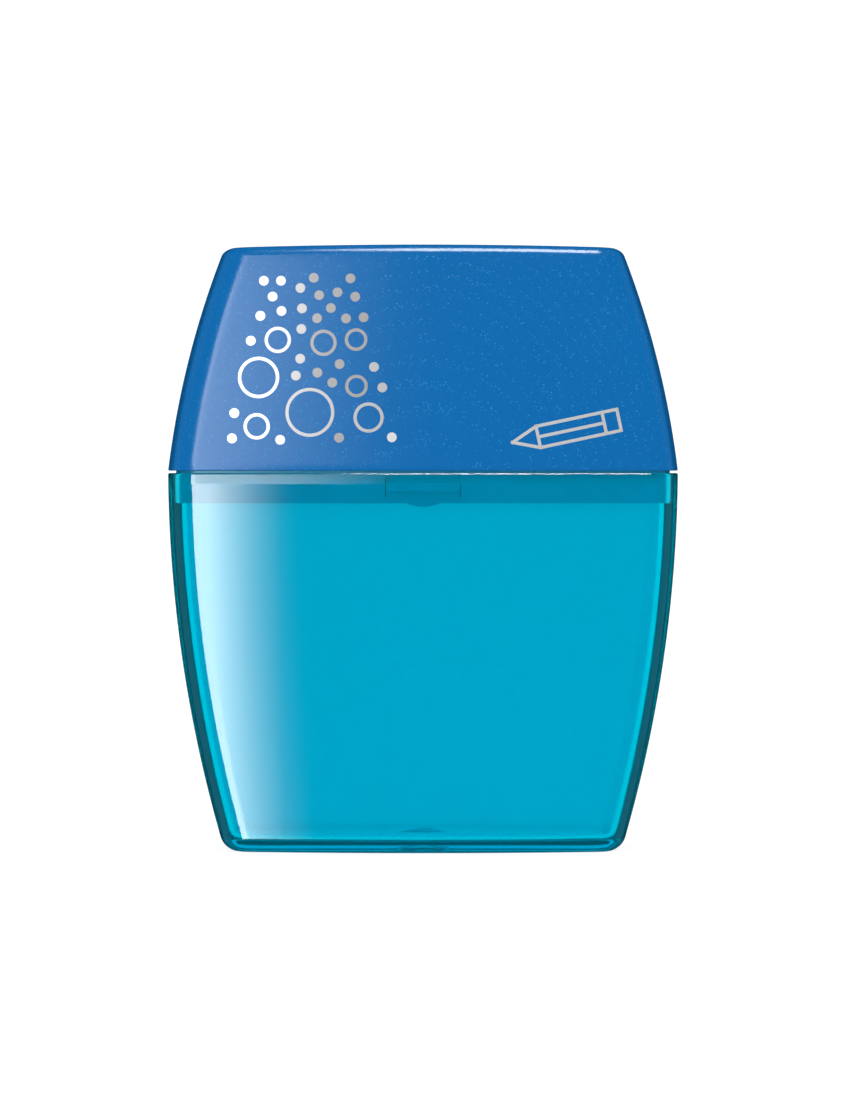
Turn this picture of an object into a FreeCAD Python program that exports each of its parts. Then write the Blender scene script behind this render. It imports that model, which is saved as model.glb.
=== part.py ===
import FreeCAD, Part
import math
import os
from collections import namedtuple
from FreeCAD import Vector

# Two-hole canister pencil sharpener: a lid that carries the sharpening insert, with an inner frame
# that plugs into the rim of a shavings reservoir. All sizes are in millimetres.
# Origin: centre of the resting face. +Z is up, +X to the right seen from the front, the front
# faces -Y. Each file in parts/ is one separate piece of the real object, where it lies when closed.

os.makedirs("parts", exist_ok=True)

# ---- Overall sizes -------------------------------------------------------------------------
WIDTH = 55.2                # across the joint between lid and reservoir
DEPTH = 27.0                # front to back at the joint
HEIGHT = 65.0               # resting face to the crest of the lid
RESERVOIR_HEIGHT = 40.65    # resting face to the reservoir's rim
PARTING_GAP = 0.25          # shadow gap between the rim and the lid's lower edge

# ---- Outer form ----------------------------------------------------------------------------
# A wall leans in from the joint by `lean` degrees and then follows an upright arc of radius
# `bow`; seen from above it is an arc of radius `plan`.
FACE_PLAN = 100.0           # front and back walls, seen from above
END_PLAN = 40.0             # end walls, seen from above
CORNER_RADIUS = 3.6         # the four upright corners
LID_END_LEAN = 6.9
LID_END_BOW = 96.6
LID_FACE_LEAN = 3.0
LID_FACE_BOW = 190.0
RESERVOIR_END_LEAN = 0.4
RESERVOIR_END_BOW = 147.0
RESERVOIR_FACE_LEAN = 0.4
RESERVOIR_FACE_BOW = 255.0
LID_TOP_CROWN = 900.0       # radius of the lid's slightly crowned top, seen from the front
LID_TOP_ROUND = 1.2         # rounding of the lid's top edge
HOLE_ROUND = 0.35           # rounding where the lid's top meets its two holes
BASE_ROUND = 1.8            # rounding of the reservoir's bottom edge

# ---- Reservoir -----------------------------------------------------------------------------
RESERVOIR_WALL = 1.5
FLOOR = 1.5
FLOOR_ROUND = 1.2           # inside, where the floor meets the walls
REBATE_DEPTH = 3.2          # height of the thinned rim that takes the lid's skirt
RIM_WALL = 0.75             # wall left in the thinned rim
RIM_ROUND = 0.2             # outer edge of the rim
GATE_WIDTH = 5.2            # moulding-gate recess under the floor
GATE_DEPTH = 0.6

# ---- Lid -----------------------------------------------------------------------------------
LID_WALL = 1.5
LID_TOP_WALL = 1.6
RIB_THICKNESS = 1.0         # upright stiffening ribs inside the front and back walls
RIB_CLEARANCE = 0.3         # rib to insert, and rib to inner frame
HOOK_THICKNESS = 1.5        # the two hooks that hold the insert
HOOK_WIDTH = 7.0
HOOK_CLEARANCE = 0.12       # hook to the flange's end
HOOK_NIB = 0.9              # how far a hook reaches under the insert's flange
HOOK_NIB_HEIGHT = 1.2

# ---- Inner frame: a ring in the lid whose skirt plugs into the reservoir's rim --------------
SKIRT_WALL = 1.0
SKIRT_CLEARANCE = 0.12      # skirt to rim, all round
COLLAR_RISE = 5.0           # how far the ring runs up inside the lid's wall
RING_WALL = 1.0
RING_CLEARANCE = 0.08       # ring to the lid's wall
RING_BAND = 0.9             # height of the band that joins skirt and ring
LUG_WIDTH = 4.0             # four lugs on the ring click into pockets of the lid's wall
LUG_HEIGHT = 1.0
LUG_PROUD = 0.35
LUG_RISE = 2.8              # lug's lower side above the lid's lower edge
LUG_X = 12.0
LUG_CLEARANCE = 0.1

# ---- Snap latch: one tongue at the front and one at the back --------------------------------
TONGUE_WIDTH = 7.3
TONGUE_SLIT = 0.45
TONGUE_SET_BACK = 0.3       # the tongue stands back from the skirt by what it flexes
BEAD_PROUD = 0.3            # bead on the tongue's outer side
BEAD_HEIGHT = 1.05
BEAD_DROP = 1.55            # rim to the bead's middle
GROOVE_WIDTH = 9.3
GROOVE_HEIGHT = 1.5
GROOVE_DEPTH = 0.35
TONGUE_TIP_WIDTH = 3.4      # rounded tip below the tongue, in a pocket of the reservoir's ledge
TONGUE_TIP_DROP = 0.4
TIP_CLEARANCE = 0.25

# ---- Sharpening insert ---------------------------------------------------------------------
COLLAR_RECESS = 0.35        # collars end this far below the lid's crest
COLLAR_WALL = 1.1
COLLAR_CLEARANCE = 0.1
FLANGE_THICKNESS = 1.8
FLANGE_WIDTH = 35.6
FLANGE_DEPTH = 15.4
FLANGE_CORNER = 3.0
BARREL_WALL = 1.5           # wall around each cone
SLAB_THICKNESS = 3.0        # plate that the blades are screwed to
SLAB_MARGIN = 0.7           # plate beyond the blades
BOSS_RADIUS = 2.3           # screw boss behind the plate
INSERT_LENGTH = 25.4        # top of the flange to the insert's lower end
CONE_POINT_RISE = 0.9       # the cones' points above the insert's lower end
LEAD_IN = 0.4               # chamfer at each hole's mouth

# ---- Blades and screws ---------------------------------------------------------------------
BLADE_WIDTH = 8.0
BLADE_THICKNESS = 0.5
BLADE_BEVEL = 1.4
BLADE_LAND = 0.05           # thickness left at the cutting edge
BLADE_CORNER = 0.8
BLADE_START = 0.6           # from the cone's point, along the slope, to the blade's end
BLADE_END_GAP = 0.4         # from the blade's upper end to the flange
BLADE_HOLE_RADIUS = 1.4
CUT_DEPTH = 0.15            # how far the cutting edge stands into the cone
THROAT_DEPTH = 1.2          # slot in front of the cutting edge, where the shaving leaves
SCREW_FROM_EDGE = 4.5
SCREW_FROM_START = 8.6
SCREW_HEAD_RADIUS = 2.2
SCREW_HEAD_HEIGHT = 1.2
SCREW_HEAD_ROUND = 0.5
SCREW_SHANK_RADIUS = 1.15
SCREW_LENGTH = 5.0          # below the head
SCREW_CLEARANCE = 0.03
SLOT_WIDTH = 0.6
SLOT_DEPTH = 0.6

# ---- The two sharpening stations -----------------------------------------------------------
# x is the hole's axis, radius the straight guide's, half_angle the cone's, and throat the width
# of the slot in front of the blade.
Station = namedtuple("Station", "name x radius half_angle throat")
STANDARD = Station("standard", -6.9, 4.1, 11.5, 3.2)
JUMBO = Station("jumbo", 7.4, 5.75, 14.5, 4.4)
STATIONS = (STANDARD, JUMBO)
HOLE_Y = 0.0                # both holes lie in the middle plane

# ---- Worked out from the sizes above -------------------------------------------------------
LID_EDGE = RESERVOIR_HEIGHT + PARTING_GAP
LEDGE = RESERVOIR_HEIGHT - REBATE_DEPTH
CEILING = HEIGHT - LID_TOP_WALL
COLLAR_TOP = HEIGHT - COLLAR_RECESS
FLANGE_BOTTOM = CEILING - FLANGE_THICKNESS
INSERT_TIP = CEILING - INSERT_LENGTH
CONE_POINT = INSERT_TIP + CONE_POINT_RISE
SKIRT_OUTER = RIM_WALL + SKIRT_CLEARANCE
SKIRT_INNER = SKIRT_OUTER + SKIRT_WALL
RING_OUTER = LID_WALL + RING_CLEARANCE
RING_INNER = RING_OUTER + RING_WALL
RING_TOP = LID_EDGE + COLLAR_RISE
BEYOND = 2.0                # how far a cutting solid runs past what it cuts
ORIGIN = Vector(0, 0, 0)
UP = Vector(0, 0, 1)

# A form's walls lean in away from the joint at height `rim`: upwards where `away` is 1, downwards
# where it is -1. Its walls are drawn from `low` to `high`, past both ends of the piece.
Wall = namedtuple("Wall", "half plan lean bow")
Form = namedtuple("Form", "rim away low high end face")
LID_FORM = Form(
    LID_EDGE,
    1,
    LID_EDGE - 2 * BEYOND,
    HEIGHT + 2 * BEYOND,
    Wall(WIDTH / 2, END_PLAN, LID_END_LEAN, LID_END_BOW),
    Wall(DEPTH / 2, FACE_PLAN, LID_FACE_LEAN, LID_FACE_BOW),
)
RESERVOIR_FORM = Form(
    RESERVOIR_HEIGHT,
    -1,
    -2 * BEYOND,
    RESERVOIR_HEIGHT + 2 * BEYOND,
    Wall(WIDTH / 2, END_PLAN, RESERVOIR_END_LEAN, RESERVOIR_END_BOW),
    Wall(DEPTH / 2, FACE_PLAN, RESERVOIR_FACE_LEAN, RESERVOIR_FACE_BOW),
)


# ---- Small helpers -------------------------------------------------------------------------
def box(low, high):
    """Box between two corners."""
    size = Vector(*high) - Vector(*low)
    return Part.makeBox(size.x, size.y, size.z, Vector(*low))


def cylinder(radius, low, high, x=0.0, y=0.0):
    """Upright cylinder between two heights."""
    return Part.makeCylinder(radius, high - low, Vector(x, y, low))


def prism(points, low, high):
    """Upright prism on a plan outline."""
    corners = [Vector(x, y, low) for x, y in points]
    outline = Part.makePolygon(corners + corners[:1])
    return Part.Face(outline).extrude(Vector(0, 0, high - low))


def one_solid(shape):
    """The single solid that a boolean result holds."""
    if len(shape.Solids) != 1:
        raise ValueError("expected one solid, got %d" % len(shape.Solids))
    return shape.Solids[0]


def mirrored_pair(shape):
    """A shape and its copy turned half round the upright axis."""
    twin = shape.copy()
    twin.rotate(ORIGIN, UP, 180)
    return [shape, twin]


# ---- Outer form of lid and reservoir -------------------------------------------------------
def disc(wall, form, inset):
    """Solid of revolution whose side is one curved wall, set in by `inset` along its normal.

    Its seam is turned to the far side, so that the wall in use is one clean face.
    """
    lean = math.radians(wall.lean)
    centre_x = wall.plan - wall.bow * math.cos(lean)
    centre_z = form.rim - form.away * wall.bow * math.sin(lean)
    arc_radius = wall.bow - inset

    def side(z):
        return Vector(centre_x + math.sqrt(arc_radius ** 2 - (z - centre_z) ** 2), 0, z)

    edges = [
        Part.makeLine(Vector(0, 0, form.low), side(form.low)),
        Part.Arc(side(form.low), side((form.low + form.high) / 2), side(form.high)).toShape(),
        Part.makeLine(side(form.high), Vector(0, 0, form.high)),
        Part.makeLine(Vector(0, 0, form.high), Vector(0, 0, form.low)),
    ]
    solid = Part.Face(Part.Wire(edges)).revolve(ORIGIN, UP, 360)
    solid.rotate(ORIGIN, UP, 180)
    return solid


def envelope(form, low, high, inset=0.0):
    """The body's form between two heights, set in by `inset`: four curved walls and corners."""
    solid = None
    for turn, wall in ((0, form.end), (90, form.face), (180, form.end), (270, form.face)):
        part = disc(wall, form, inset)
        part.translate(Vector(wall.half - wall.plan, 0, 0))
        part.rotate(ORIGIN, UP, turn)
        solid = part if solid is None else solid.common(part)
    solid = one_solid(solid)
    tall = (form.high - form.low) * 0.99
    upright = [edge for edge in solid.Edges if edge.BoundBox.ZLength > tall]
    solid = solid.makeFillet(CORNER_RADIUS - inset, upright)
    return one_solid(solid.common(box((-WIDTH, -DEPTH, low), (WIDTH, DEPTH, high))))


def edges_at(shape, height):
    """Edges that lie flat at one height."""
    flat = 1e-4
    return [
        edge
        for edge in shape.Edges
        if edge.BoundBox.ZLength < flat and abs(edge.BoundBox.ZMin - height) < flat
    ]


# ---- Reservoir -----------------------------------------------------------------------------
def gate_cap(width, depth, base):
    """Ball that cuts a cap `depth` deep and `width` wide at the height `base`."""
    radius = ((width / 2) ** 2 + depth ** 2) / (2 * depth)
    return Part.makeSphere(radius, Vector(0, 0, base + depth - radius))


def latch_groove():
    """Cutter for the groove inside the rim that the bead clicks into, front and back."""
    middle = RESERVOIR_HEIGHT - BEAD_DROP + (GROOVE_HEIGHT - BEAD_HEIGHT) / 4
    low = middle - GROOVE_HEIGHT / 2
    high = middle + GROOVE_HEIGHT / 2
    slice_ = envelope(RESERVOIR_FORM, low, high, RIM_WALL - GROOVE_DEPTH)
    return slice_.common(box((-GROOVE_WIDTH / 2, -DEPTH, low), (GROOVE_WIDTH / 2, DEPTH, high)))


def tongue_tip(grow):
    """Rounded tip below the tongues, a lens along Y; `grow` enlarges it to make its pocket."""
    half = TONGUE_TIP_WIDTH / 2
    radius = (half ** 2 + TONGUE_TIP_DROP ** 2) / (2 * TONGUE_TIP_DROP)
    centre = Vector(0, -DEPTH, LEDGE - TONGUE_TIP_DROP + radius)
    return Part.makeCylinder(radius + grow, 2 * DEPTH, centre, Vector(0, 1, 0))


def make_reservoir():
    """Translucent canister: thin wall, stepped rim, latch grooves, gate recess."""
    body = envelope(RESERVOIR_FORM, 0, RESERVOIR_HEIGHT)
    body = body.makeFillet(BASE_ROUND, edges_at(body, 0))
    body = body.makeFillet(RIM_ROUND, edges_at(body, RESERVOIR_HEIGHT))
    cavity = envelope(RESERVOIR_FORM, FLOOR, RESERVOIR_HEIGHT + BEYOND, RESERVOIR_WALL)
    cavity = cavity.makeFillet(FLOOR_ROUND, edges_at(cavity, FLOOR))
    dome = gate_cap(GATE_WIDTH, GATE_DEPTH, FLOOR)
    cavity = cavity.cut(dome)
    rebate = envelope(RESERVOIR_FORM, LEDGE, RESERVOIR_HEIGHT + BEYOND, RIM_WALL)
    pocket_slice = envelope(RESERVOIR_FORM, LEDGE - BEYOND, LEDGE, RIM_WALL)
    pocket = pocket_slice.common(tongue_tip(TIP_CLEARANCE))
    shell = body.cut([cavity, rebate, latch_groove(), pocket, gate_cap(GATE_WIDTH, GATE_DEPTH, 0)])
    return one_solid(shell)


# ---- Lid -----------------------------------------------------------------------------------
def crowned_lid_body():
    """Lid's outer form, its top crowned along X and rounded at the edge."""
    body = envelope(LID_FORM, LID_EDGE, HEIGHT + BEYOND)
    half = WIDTH / 2
    drop = LID_TOP_CROWN - math.sqrt(LID_TOP_CROWN ** 2 - half ** 2)
    left = Vector(-half, -DEPTH, HEIGHT - drop)
    right = Vector(half, -DEPTH, HEIGHT - drop)
    low_right = Vector(half, -DEPTH, 0)
    low_left = Vector(-half, -DEPTH, 0)
    edges = [
        Part.Arc(left, Vector(0, -DEPTH, HEIGHT), right).toShape(),
        Part.makeLine(right, low_right),
        Part.makeLine(low_right, low_left),
        Part.makeLine(low_left, left),
    ]
    below_crown = Part.Face(Part.Wire(edges)).extrude(Vector(0, 2 * DEPTH, 0))
    body = one_solid(body.common(below_crown))
    top = [edge for edge in body.Edges if edge.BoundBox.ZMin > HEIGHT - drop]
    return body.makeFillet(LID_TOP_ROUND, top)


def skirt_ring():
    """Skirt that plugs into the reservoir's rim, with two tongues cut free by slits."""
    outer = envelope(RESERVOIR_FORM, LEDGE, LID_EDGE, SKIRT_OUTER)
    inner = envelope(RESERVOIR_FORM, LEDGE - BEYOND, LID_EDGE - RING_BAND, SKIRT_INNER)
    bore = envelope(LID_FORM, LID_EDGE - RING_BAND - BEYOND, LID_EDGE + BEYOND, RING_INNER)
    ring = outer.cut([inner, bore])
    half = TONGUE_WIDTH / 2
    slit_top = RESERVOIR_HEIGHT - RIM_ROUND
    for side in (-1, 1):
        near = side * half
        far = side * (half + TONGUE_SLIT)
        slit = box((min(near, far), -DEPTH, LEDGE - BEYOND), (max(near, far), DEPTH, slit_top))
        ring = ring.cut(slit)
    return ring.cut(tongue_relief())


def tongue_relief():
    """What is taken off the tongues' outer side so that they stand back from the rim."""
    half = TONGUE_WIDTH / 2
    span = envelope(RESERVOIR_FORM, LEDGE - BEYOND, RESERVOIR_HEIGHT)
    core = envelope(RESERVOIR_FORM, LEDGE - BEYOND, RESERVOIR_HEIGHT, SKIRT_OUTER + TONGUE_SET_BACK)
    skin = span.cut(core)
    return skin.common(box((-half, -DEPTH, LEDGE - BEYOND), (half, DEPTH, RESERVOIR_HEIGHT)))


def tongue_beads():
    """Rounded bead across each tongue, and the tongue's rounded tip."""
    half = TONGUE_WIDTH / 2
    middle = RESERVOIR_HEIGHT - BEAD_DROP
    low = middle - BEAD_HEIGHT / 2
    high = middle + BEAD_HEIGHT / 2
    back = SKIRT_OUTER + TONGUE_SET_BACK
    outer = envelope(RESERVOIR_FORM, low, high, back - BEAD_PROUD)
    inner = envelope(RESERVOIR_FORM, low - BEYOND, high + BEYOND, SKIRT_INNER)
    bead = outer.cut(inner).common(box((-half, -DEPTH, low), (half, DEPTH, high)))
    proud = [
        edge
        for edge in bead.Edges
        if edge.BoundBox.XLength > TONGUE_WIDTH * 0.9 and edge.BoundBox.ZLength < BEAD_HEIGHT / 4
        and max(abs(edge.BoundBox.YMin), abs(edge.BoundBox.YMax)) > DEPTH / 2 - back
    ]
    bead = bead.makeFillet(BEAD_PROUD * 0.9, proud)
    tip_outer = envelope(RESERVOIR_FORM, LEDGE - BEYOND, LEDGE + BEYOND / 4, back)
    tip_inner = envelope(RESERVOIR_FORM, LEDGE - 2 * BEYOND, LEDGE + BEYOND, SKIRT_INNER)
    tip_ring = tip_outer.cut(tip_inner).common(box((-half, -DEPTH, LEDGE - BEYOND), (half, DEPTH, HEIGHT)))
    return [bead, tip_ring.common(tongue_tip(0))]


def collar_ring():
    """Upper part of the inner frame, a plain ring close inside the lid's wall."""
    outer = envelope(LID_FORM, LID_EDGE - RING_BAND, RING_TOP, RING_OUTER)
    inner = envelope(LID_FORM, LID_EDGE - RING_BAND - BEYOND, RING_TOP + BEYOND, RING_INNER)
    return outer.cut(inner)


def lugs(inset, grow):
    """Four lugs between the inner frame and the lid's wall; `grow` enlarges them to pockets."""
    low = LID_EDGE + LUG_RISE - grow
    high = LID_EDGE + LUG_RISE + LUG_HEIGHT + grow
    outer = envelope(LID_FORM, low, high, inset)
    inner = envelope(LID_FORM, low - BEYOND, high + BEYOND, RING_OUTER + RING_WALL / 2)
    band = outer.cut(inner)
    half = LUG_WIDTH / 2 + grow
    made = []
    for side in (-1, 1):
        middle = side * LUG_X
        made.append(band.common(box((middle - half, -DEPTH, low), (middle + half, 0, high))))
        made.append(band.common(box((middle - half, 0, low), (middle + half, DEPTH, high))))
    return made


def make_inner_frame():
    """Ring that fits inside the lid: skirt, snap tongues with beads, collar and lugs."""
    ring = skirt_ring().fuse([collar_ring()] + tongue_beads() + lugs(RING_OUTER - LUG_PROUD, 0))
    return one_solid(ring)


def stiffening_ribs():
    """Four upright ribs inside the front and back walls, beside the insert."""
    ribs = []
    foot = RING_TOP + RIB_CLEARANCE
    room = envelope(LID_FORM, foot, CEILING, LID_WALL / 2)
    for side in (-1, 1):
        middle = side * (FLANGE_WIDTH / 2 - FLANGE_CORNER - RIB_THICKNESS)
        rib = box(
            (middle - RIB_THICKNESS / 2, FLANGE_DEPTH / 2 + RIB_CLEARANCE, foot),
            (middle + RIB_THICKNESS / 2, DEPTH, HEIGHT),
        )
        ribs.extend(mirrored_pair(rib.common(room)))
    return ribs


def insert_hooks():
    """Two hooks that hang from the ceiling and hold the insert's flange at its ends."""
    inner = FLANGE_WIDTH / 2 + HOOK_CLEARANCE
    outer = inner + HOOK_THICKNESS
    nib_in = inner - HOOK_NIB
    top = FLANGE_BOTTOM
    low = top - HOOK_NIB_HEIGHT
    profile = [
        Vector(inner, 0, CEILING + LID_TOP_WALL / 2),
        Vector(outer, 0, CEILING + LID_TOP_WALL / 2),
        Vector(outer, 0, low - HOOK_NIB / 2),
        Vector(inner, 0, low - HOOK_NIB / 2),
        Vector(nib_in, 0, low + HOOK_NIB / 2),
        Vector(nib_in, 0, top),
        Vector(inner, 0, top),
    ]
    face = Part.Face(Part.makePolygon(profile + profile[:1]))
    hook = face.extrude(Vector(0, HOOK_WIDTH, 0))
    hook.translate(Vector(0, -HOOK_WIDTH / 2, 0))
    return mirrored_pair(hook)


def make_lid():
    """Opaque lid: outer shell, two holes, ribs and hooks for the insert, pockets for the lugs."""
    cavity = envelope(LID_FORM, LID_EDGE - BEYOND, CEILING, LID_WALL)
    shell = crowned_lid_body().cut([cavity] + lugs(RING_OUTER - LUG_PROUD - LUG_CLEARANCE, LUG_CLEARANCE))
    shell = shell.fuse(stiffening_ribs() + insert_hooks())
    holes = []
    for station in STATIONS:
        radius = station.radius + COLLAR_WALL + COLLAR_CLEARANCE
        holes.append(cylinder(radius, CEILING - BEYOND, HEIGHT + BEYOND, station.x, HOLE_Y))
    shell = one_solid(shell.cut(holes))
    reach = max(station.x + station.radius for station in STATIONS) + 2 * COLLAR_WALL
    mouths = [
        edge
        for edge in shell.Edges
        if edge.BoundBox.ZMin > HEIGHT - LID_TOP_WALL / 2
        and max(abs(edge.BoundBox.XMin), abs(edge.BoundBox.XMax)) < reach
        and edge.BoundBox.YLength > STANDARD.radius
    ]
    return one_solid(shell.makeFillet(HOLE_ROUND, mouths))


# ---- Sharpening stations -------------------------------------------------------------------
# A station is first drawn upright: its cone's point at the origin, the blade's seat in the
# plane y = CUT_DEPTH facing -Y, the cutting edge along x = 0 and the blade towards -X. `lean`
# then tips it by the cone's half angle, which lays the cutting edge along the cone's side.
def lean(shape, station):
    """Tip a shape from the upright drawing to its place on the station."""
    shape.rotate(ORIGIN, Vector(1, 0, 0), station.half_angle)
    shape.translate(Vector(station.x, HOLE_Y, CONE_POINT))
    return shape


def cone_top(station):
    """Height where the station's cone widens to its straight guide."""
    return CONE_POINT + station.radius / math.tan(math.radians(station.half_angle))


def seat_length(station):
    """Length of the blade's seat along its slope, from the cone's point to the flange."""
    return (FLANGE_BOTTOM - CONE_POINT) / math.cos(math.radians(station.half_angle))


def barrel(station):
    """Outside of a station's cone and straight guide, drawn past the flange."""
    slope = math.tan(math.radians(station.half_angle))
    shift = BARREL_WALL / math.cos(math.radians(station.half_angle))
    high = cone_top(station)
    small = max((INSERT_TIP - CONE_POINT) * slope + shift, shift)
    place = Vector(station.x, HOLE_Y, INSERT_TIP)
    cone = Part.makeCone(small, station.radius + shift, high - INSERT_TIP, place)
    return [cone, cylinder(station.radius + shift, high, high + INSERT_LENGTH, station.x, HOLE_Y)]


def hole_cutter(station):
    """The hole itself: cone, straight guide and lead-in."""
    high = cone_top(station)
    place = Vector(station.x, HOLE_Y, CONE_POINT)
    cone = Part.makeCone(0, station.radius, high - CONE_POINT, place)
    guide = cylinder(station.radius, high, COLLAR_TOP + BEYOND, station.x, HOLE_Y)
    mouth = Part.makeCone(
        station.radius,
        station.radius + LEAD_IN,
        LEAD_IN,
        Vector(station.x, HOLE_Y, COLLAR_TOP - LEAD_IN),
    )
    return [cone, guide, mouth]


def screw_place():
    """Where a screw's axis crosses the upright drawing: x and z."""
    return -SCREW_FROM_EDGE, BLADE_START + SCREW_FROM_START


def slab(station):
    """Plate behind the blade with its screw boss, drawn upright and tipped into place."""
    left = -BLADE_WIDTH - SLAB_MARGIN
    right = station.throat + SLAB_MARGIN
    length = seat_length(station) + BEYOND
    plate = box((left, CUT_DEPTH, -BEYOND), (right, CUT_DEPTH + SLAB_THICKNESS, length))
    x, z = screw_place()
    boss_end = CUT_DEPTH + SCREW_LENGTH - BLADE_THICKNESS + COLLAR_WALL
    boss = Part.makeCylinder(BOSS_RADIUS, boss_end - CUT_DEPTH, Vector(x, CUT_DEPTH, z), Vector(0, 1, 0))
    return [lean(plate, station), lean(boss, station)]


def seat_cutter(station, left, right):
    """Everything in front of the blade's seat, between two distances from the cutting edge."""
    length = HEIGHT
    return lean(box((left, -DEPTH, -length), (right, CUT_DEPTH, length)), station)


def throat_cutter(station):
    """Slot in front of the cutting edge, ending where the straight guide begins."""
    length = station.radius / math.sin(math.radians(station.half_angle))
    cutter = box((0, -DEPTH, -BEYOND), (station.throat, CUT_DEPTH + THROAT_DEPTH, length))
    return lean(cutter, station)


def screw_hole(station):
    """Pilot hole in the boss."""
    x, z = screw_place()
    depth = SCREW_LENGTH - BLADE_THICKNESS + CUT_DEPTH
    hole = Part.makeCylinder(
        SCREW_SHANK_RADIUS + SCREW_CLEARANCE,
        depth + BEYOND,
        Vector(x, CUT_DEPTH - BEYOND, z),
        Vector(0, 1, 0),
    )
    return lean(hole, station)


def make_insert():
    """Guide block: flange with two collars, two cones, slanted blade seats and throats."""
    half_w = FLANGE_WIDTH / 2
    half_d = FLANGE_DEPTH / 2
    flange = box((-half_w, -half_d, FLANGE_BOTTOM), (half_w, half_d, CEILING))
    corners = [edge for edge in flange.Edges if edge.BoundBox.ZLength > FLANGE_THICKNESS * 0.9]
    flange = flange.makeFillet(FLANGE_CORNER, corners)
    split = (STANDARD.x + STANDARD.throat + JUMBO.x - BLADE_WIDTH) / 2
    below = box((-WIDTH, -DEPTH, INSERT_TIP), (WIDTH, DEPTH, FLANGE_BOTTOM))
    lower = []
    for station in STATIONS:
        lower.extend(barrel(station))
        lower.extend(slab(station))
    block = lower[0].fuse(lower[1:]).common(below)
    for station in STATIONS:
        left = split - station.x if station is JUMBO else -WIDTH
        right = split - station.x if station is STANDARD else WIDTH
        block = block.cut([seat_cutter(station, left, right), throat_cutter(station)])
    collars = []
    for station in STATIONS:
        outer = station.radius + COLLAR_WALL
        collars.append(cylinder(outer, CEILING - FLANGE_THICKNESS / 2, COLLAR_TOP, station.x, HOLE_Y))
    whole = block.fuse([flange] + collars)
    cutters = []
    for station in STATIONS:
        cutters.extend(hole_cutter(station))
        cutters.append(screw_hole(station))
    return one_solid(whole.cut(cutters))


def make_blade(station):
    """Flat steel blade, ground on one long edge, with one screw hole."""
    back = -BLADE_WIDTH
    top = CUT_DEPTH - BLADE_THICKNESS
    section = [
        Vector(back, CUT_DEPTH, 0),
        Vector(0, CUT_DEPTH, 0),
        Vector(0, CUT_DEPTH - BLADE_LAND, 0),
        Vector(-BLADE_BEVEL, top, 0),
        Vector(back, top, 0),
    ]
    face = Part.Face(Part.makePolygon(section + section[:1]))
    face.translate(Vector(0, 0, BLADE_START))
    plate = face.extrude(Vector(0, 0, seat_length(station) - BLADE_START - BLADE_END_GAP))
    ends = [
        edge
        for edge in plate.Edges
        if edge.BoundBox.YLength > BLADE_THICKNESS * 0.9 and edge.BoundBox.XMax < back / 2
    ]
    plate = plate.makeChamfer(BLADE_CORNER, ends)
    x, z = screw_place()
    hole = Part.makeCylinder(BLADE_HOLE_RADIUS, 2 * BEYOND, Vector(x, -BEYOND, z), Vector(0, 1, 0))
    return lean(one_solid(plate.cut(hole)), station)


def make_screw(station):
    """Slotted round-head screw that clamps a blade."""
    x, z = screw_place()
    seat = CUT_DEPTH - BLADE_THICKNESS
    head = Part.makeCylinder(
        SCREW_HEAD_RADIUS, SCREW_HEAD_HEIGHT, Vector(x, seat, z), Vector(0, -1, 0)
    )
    crest = [edge for edge in head.Edges if edge.BoundBox.YMax < seat - SCREW_HEAD_HEIGHT * 0.9]
    head = head.makeFillet(SCREW_HEAD_ROUND, crest)
    shank = Part.makeCylinder(SCREW_SHANK_RADIUS, SCREW_LENGTH, Vector(x, seat, z), Vector(0, 1, 0))
    slot = box(
        (x - SCREW_HEAD_RADIUS - BEYOND, seat - SCREW_HEAD_HEIGHT - BEYOND, z - SLOT_WIDTH / 2),
        (x + SCREW_HEAD_RADIUS + BEYOND, seat - SCREW_HEAD_HEIGHT + SLOT_DEPTH, z + SLOT_WIDTH / 2),
    )
    slot.rotate(Vector(x, 0, z), Vector(0, 1, 0), station.half_angle * 3)
    return lean(one_solid(head.fuse(shank).cut(slot)), station)


# ---- Write every piece ---------------------------------------------------------------------
PIECES = {
    "reservoir": make_reservoir(),
    "lid_shell": make_lid(),
    "inner_frame": make_inner_frame(),
    "sharpener_insert": make_insert(),
}
for each in STATIONS:
    PIECES[each.name + "_blade"] = make_blade(each)
    PIECES[each.name + "_blade_screw"] = make_screw(each)

for name, shape in PIECES.items():
    print("%-24s volume %9.2f  valid %s" % (name, shape.Volume, shape.isValid()))
    shape.exportStep("parts/" + name + ".step")
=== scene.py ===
"""Two-hole canister pencil sharpener: its finished surfaces, finishes, light and camera.

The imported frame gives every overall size. Sizes inside the classes are in millimetres, and a mesh
is brought to metres when it is made. +Z is up, +X to the right, and the front faces -Y.
"""

import logging
import math
from dataclasses import dataclass, field
from enum import Enum
from typing import Any, Dict, List, Optional, Sequence, Tuple

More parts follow.
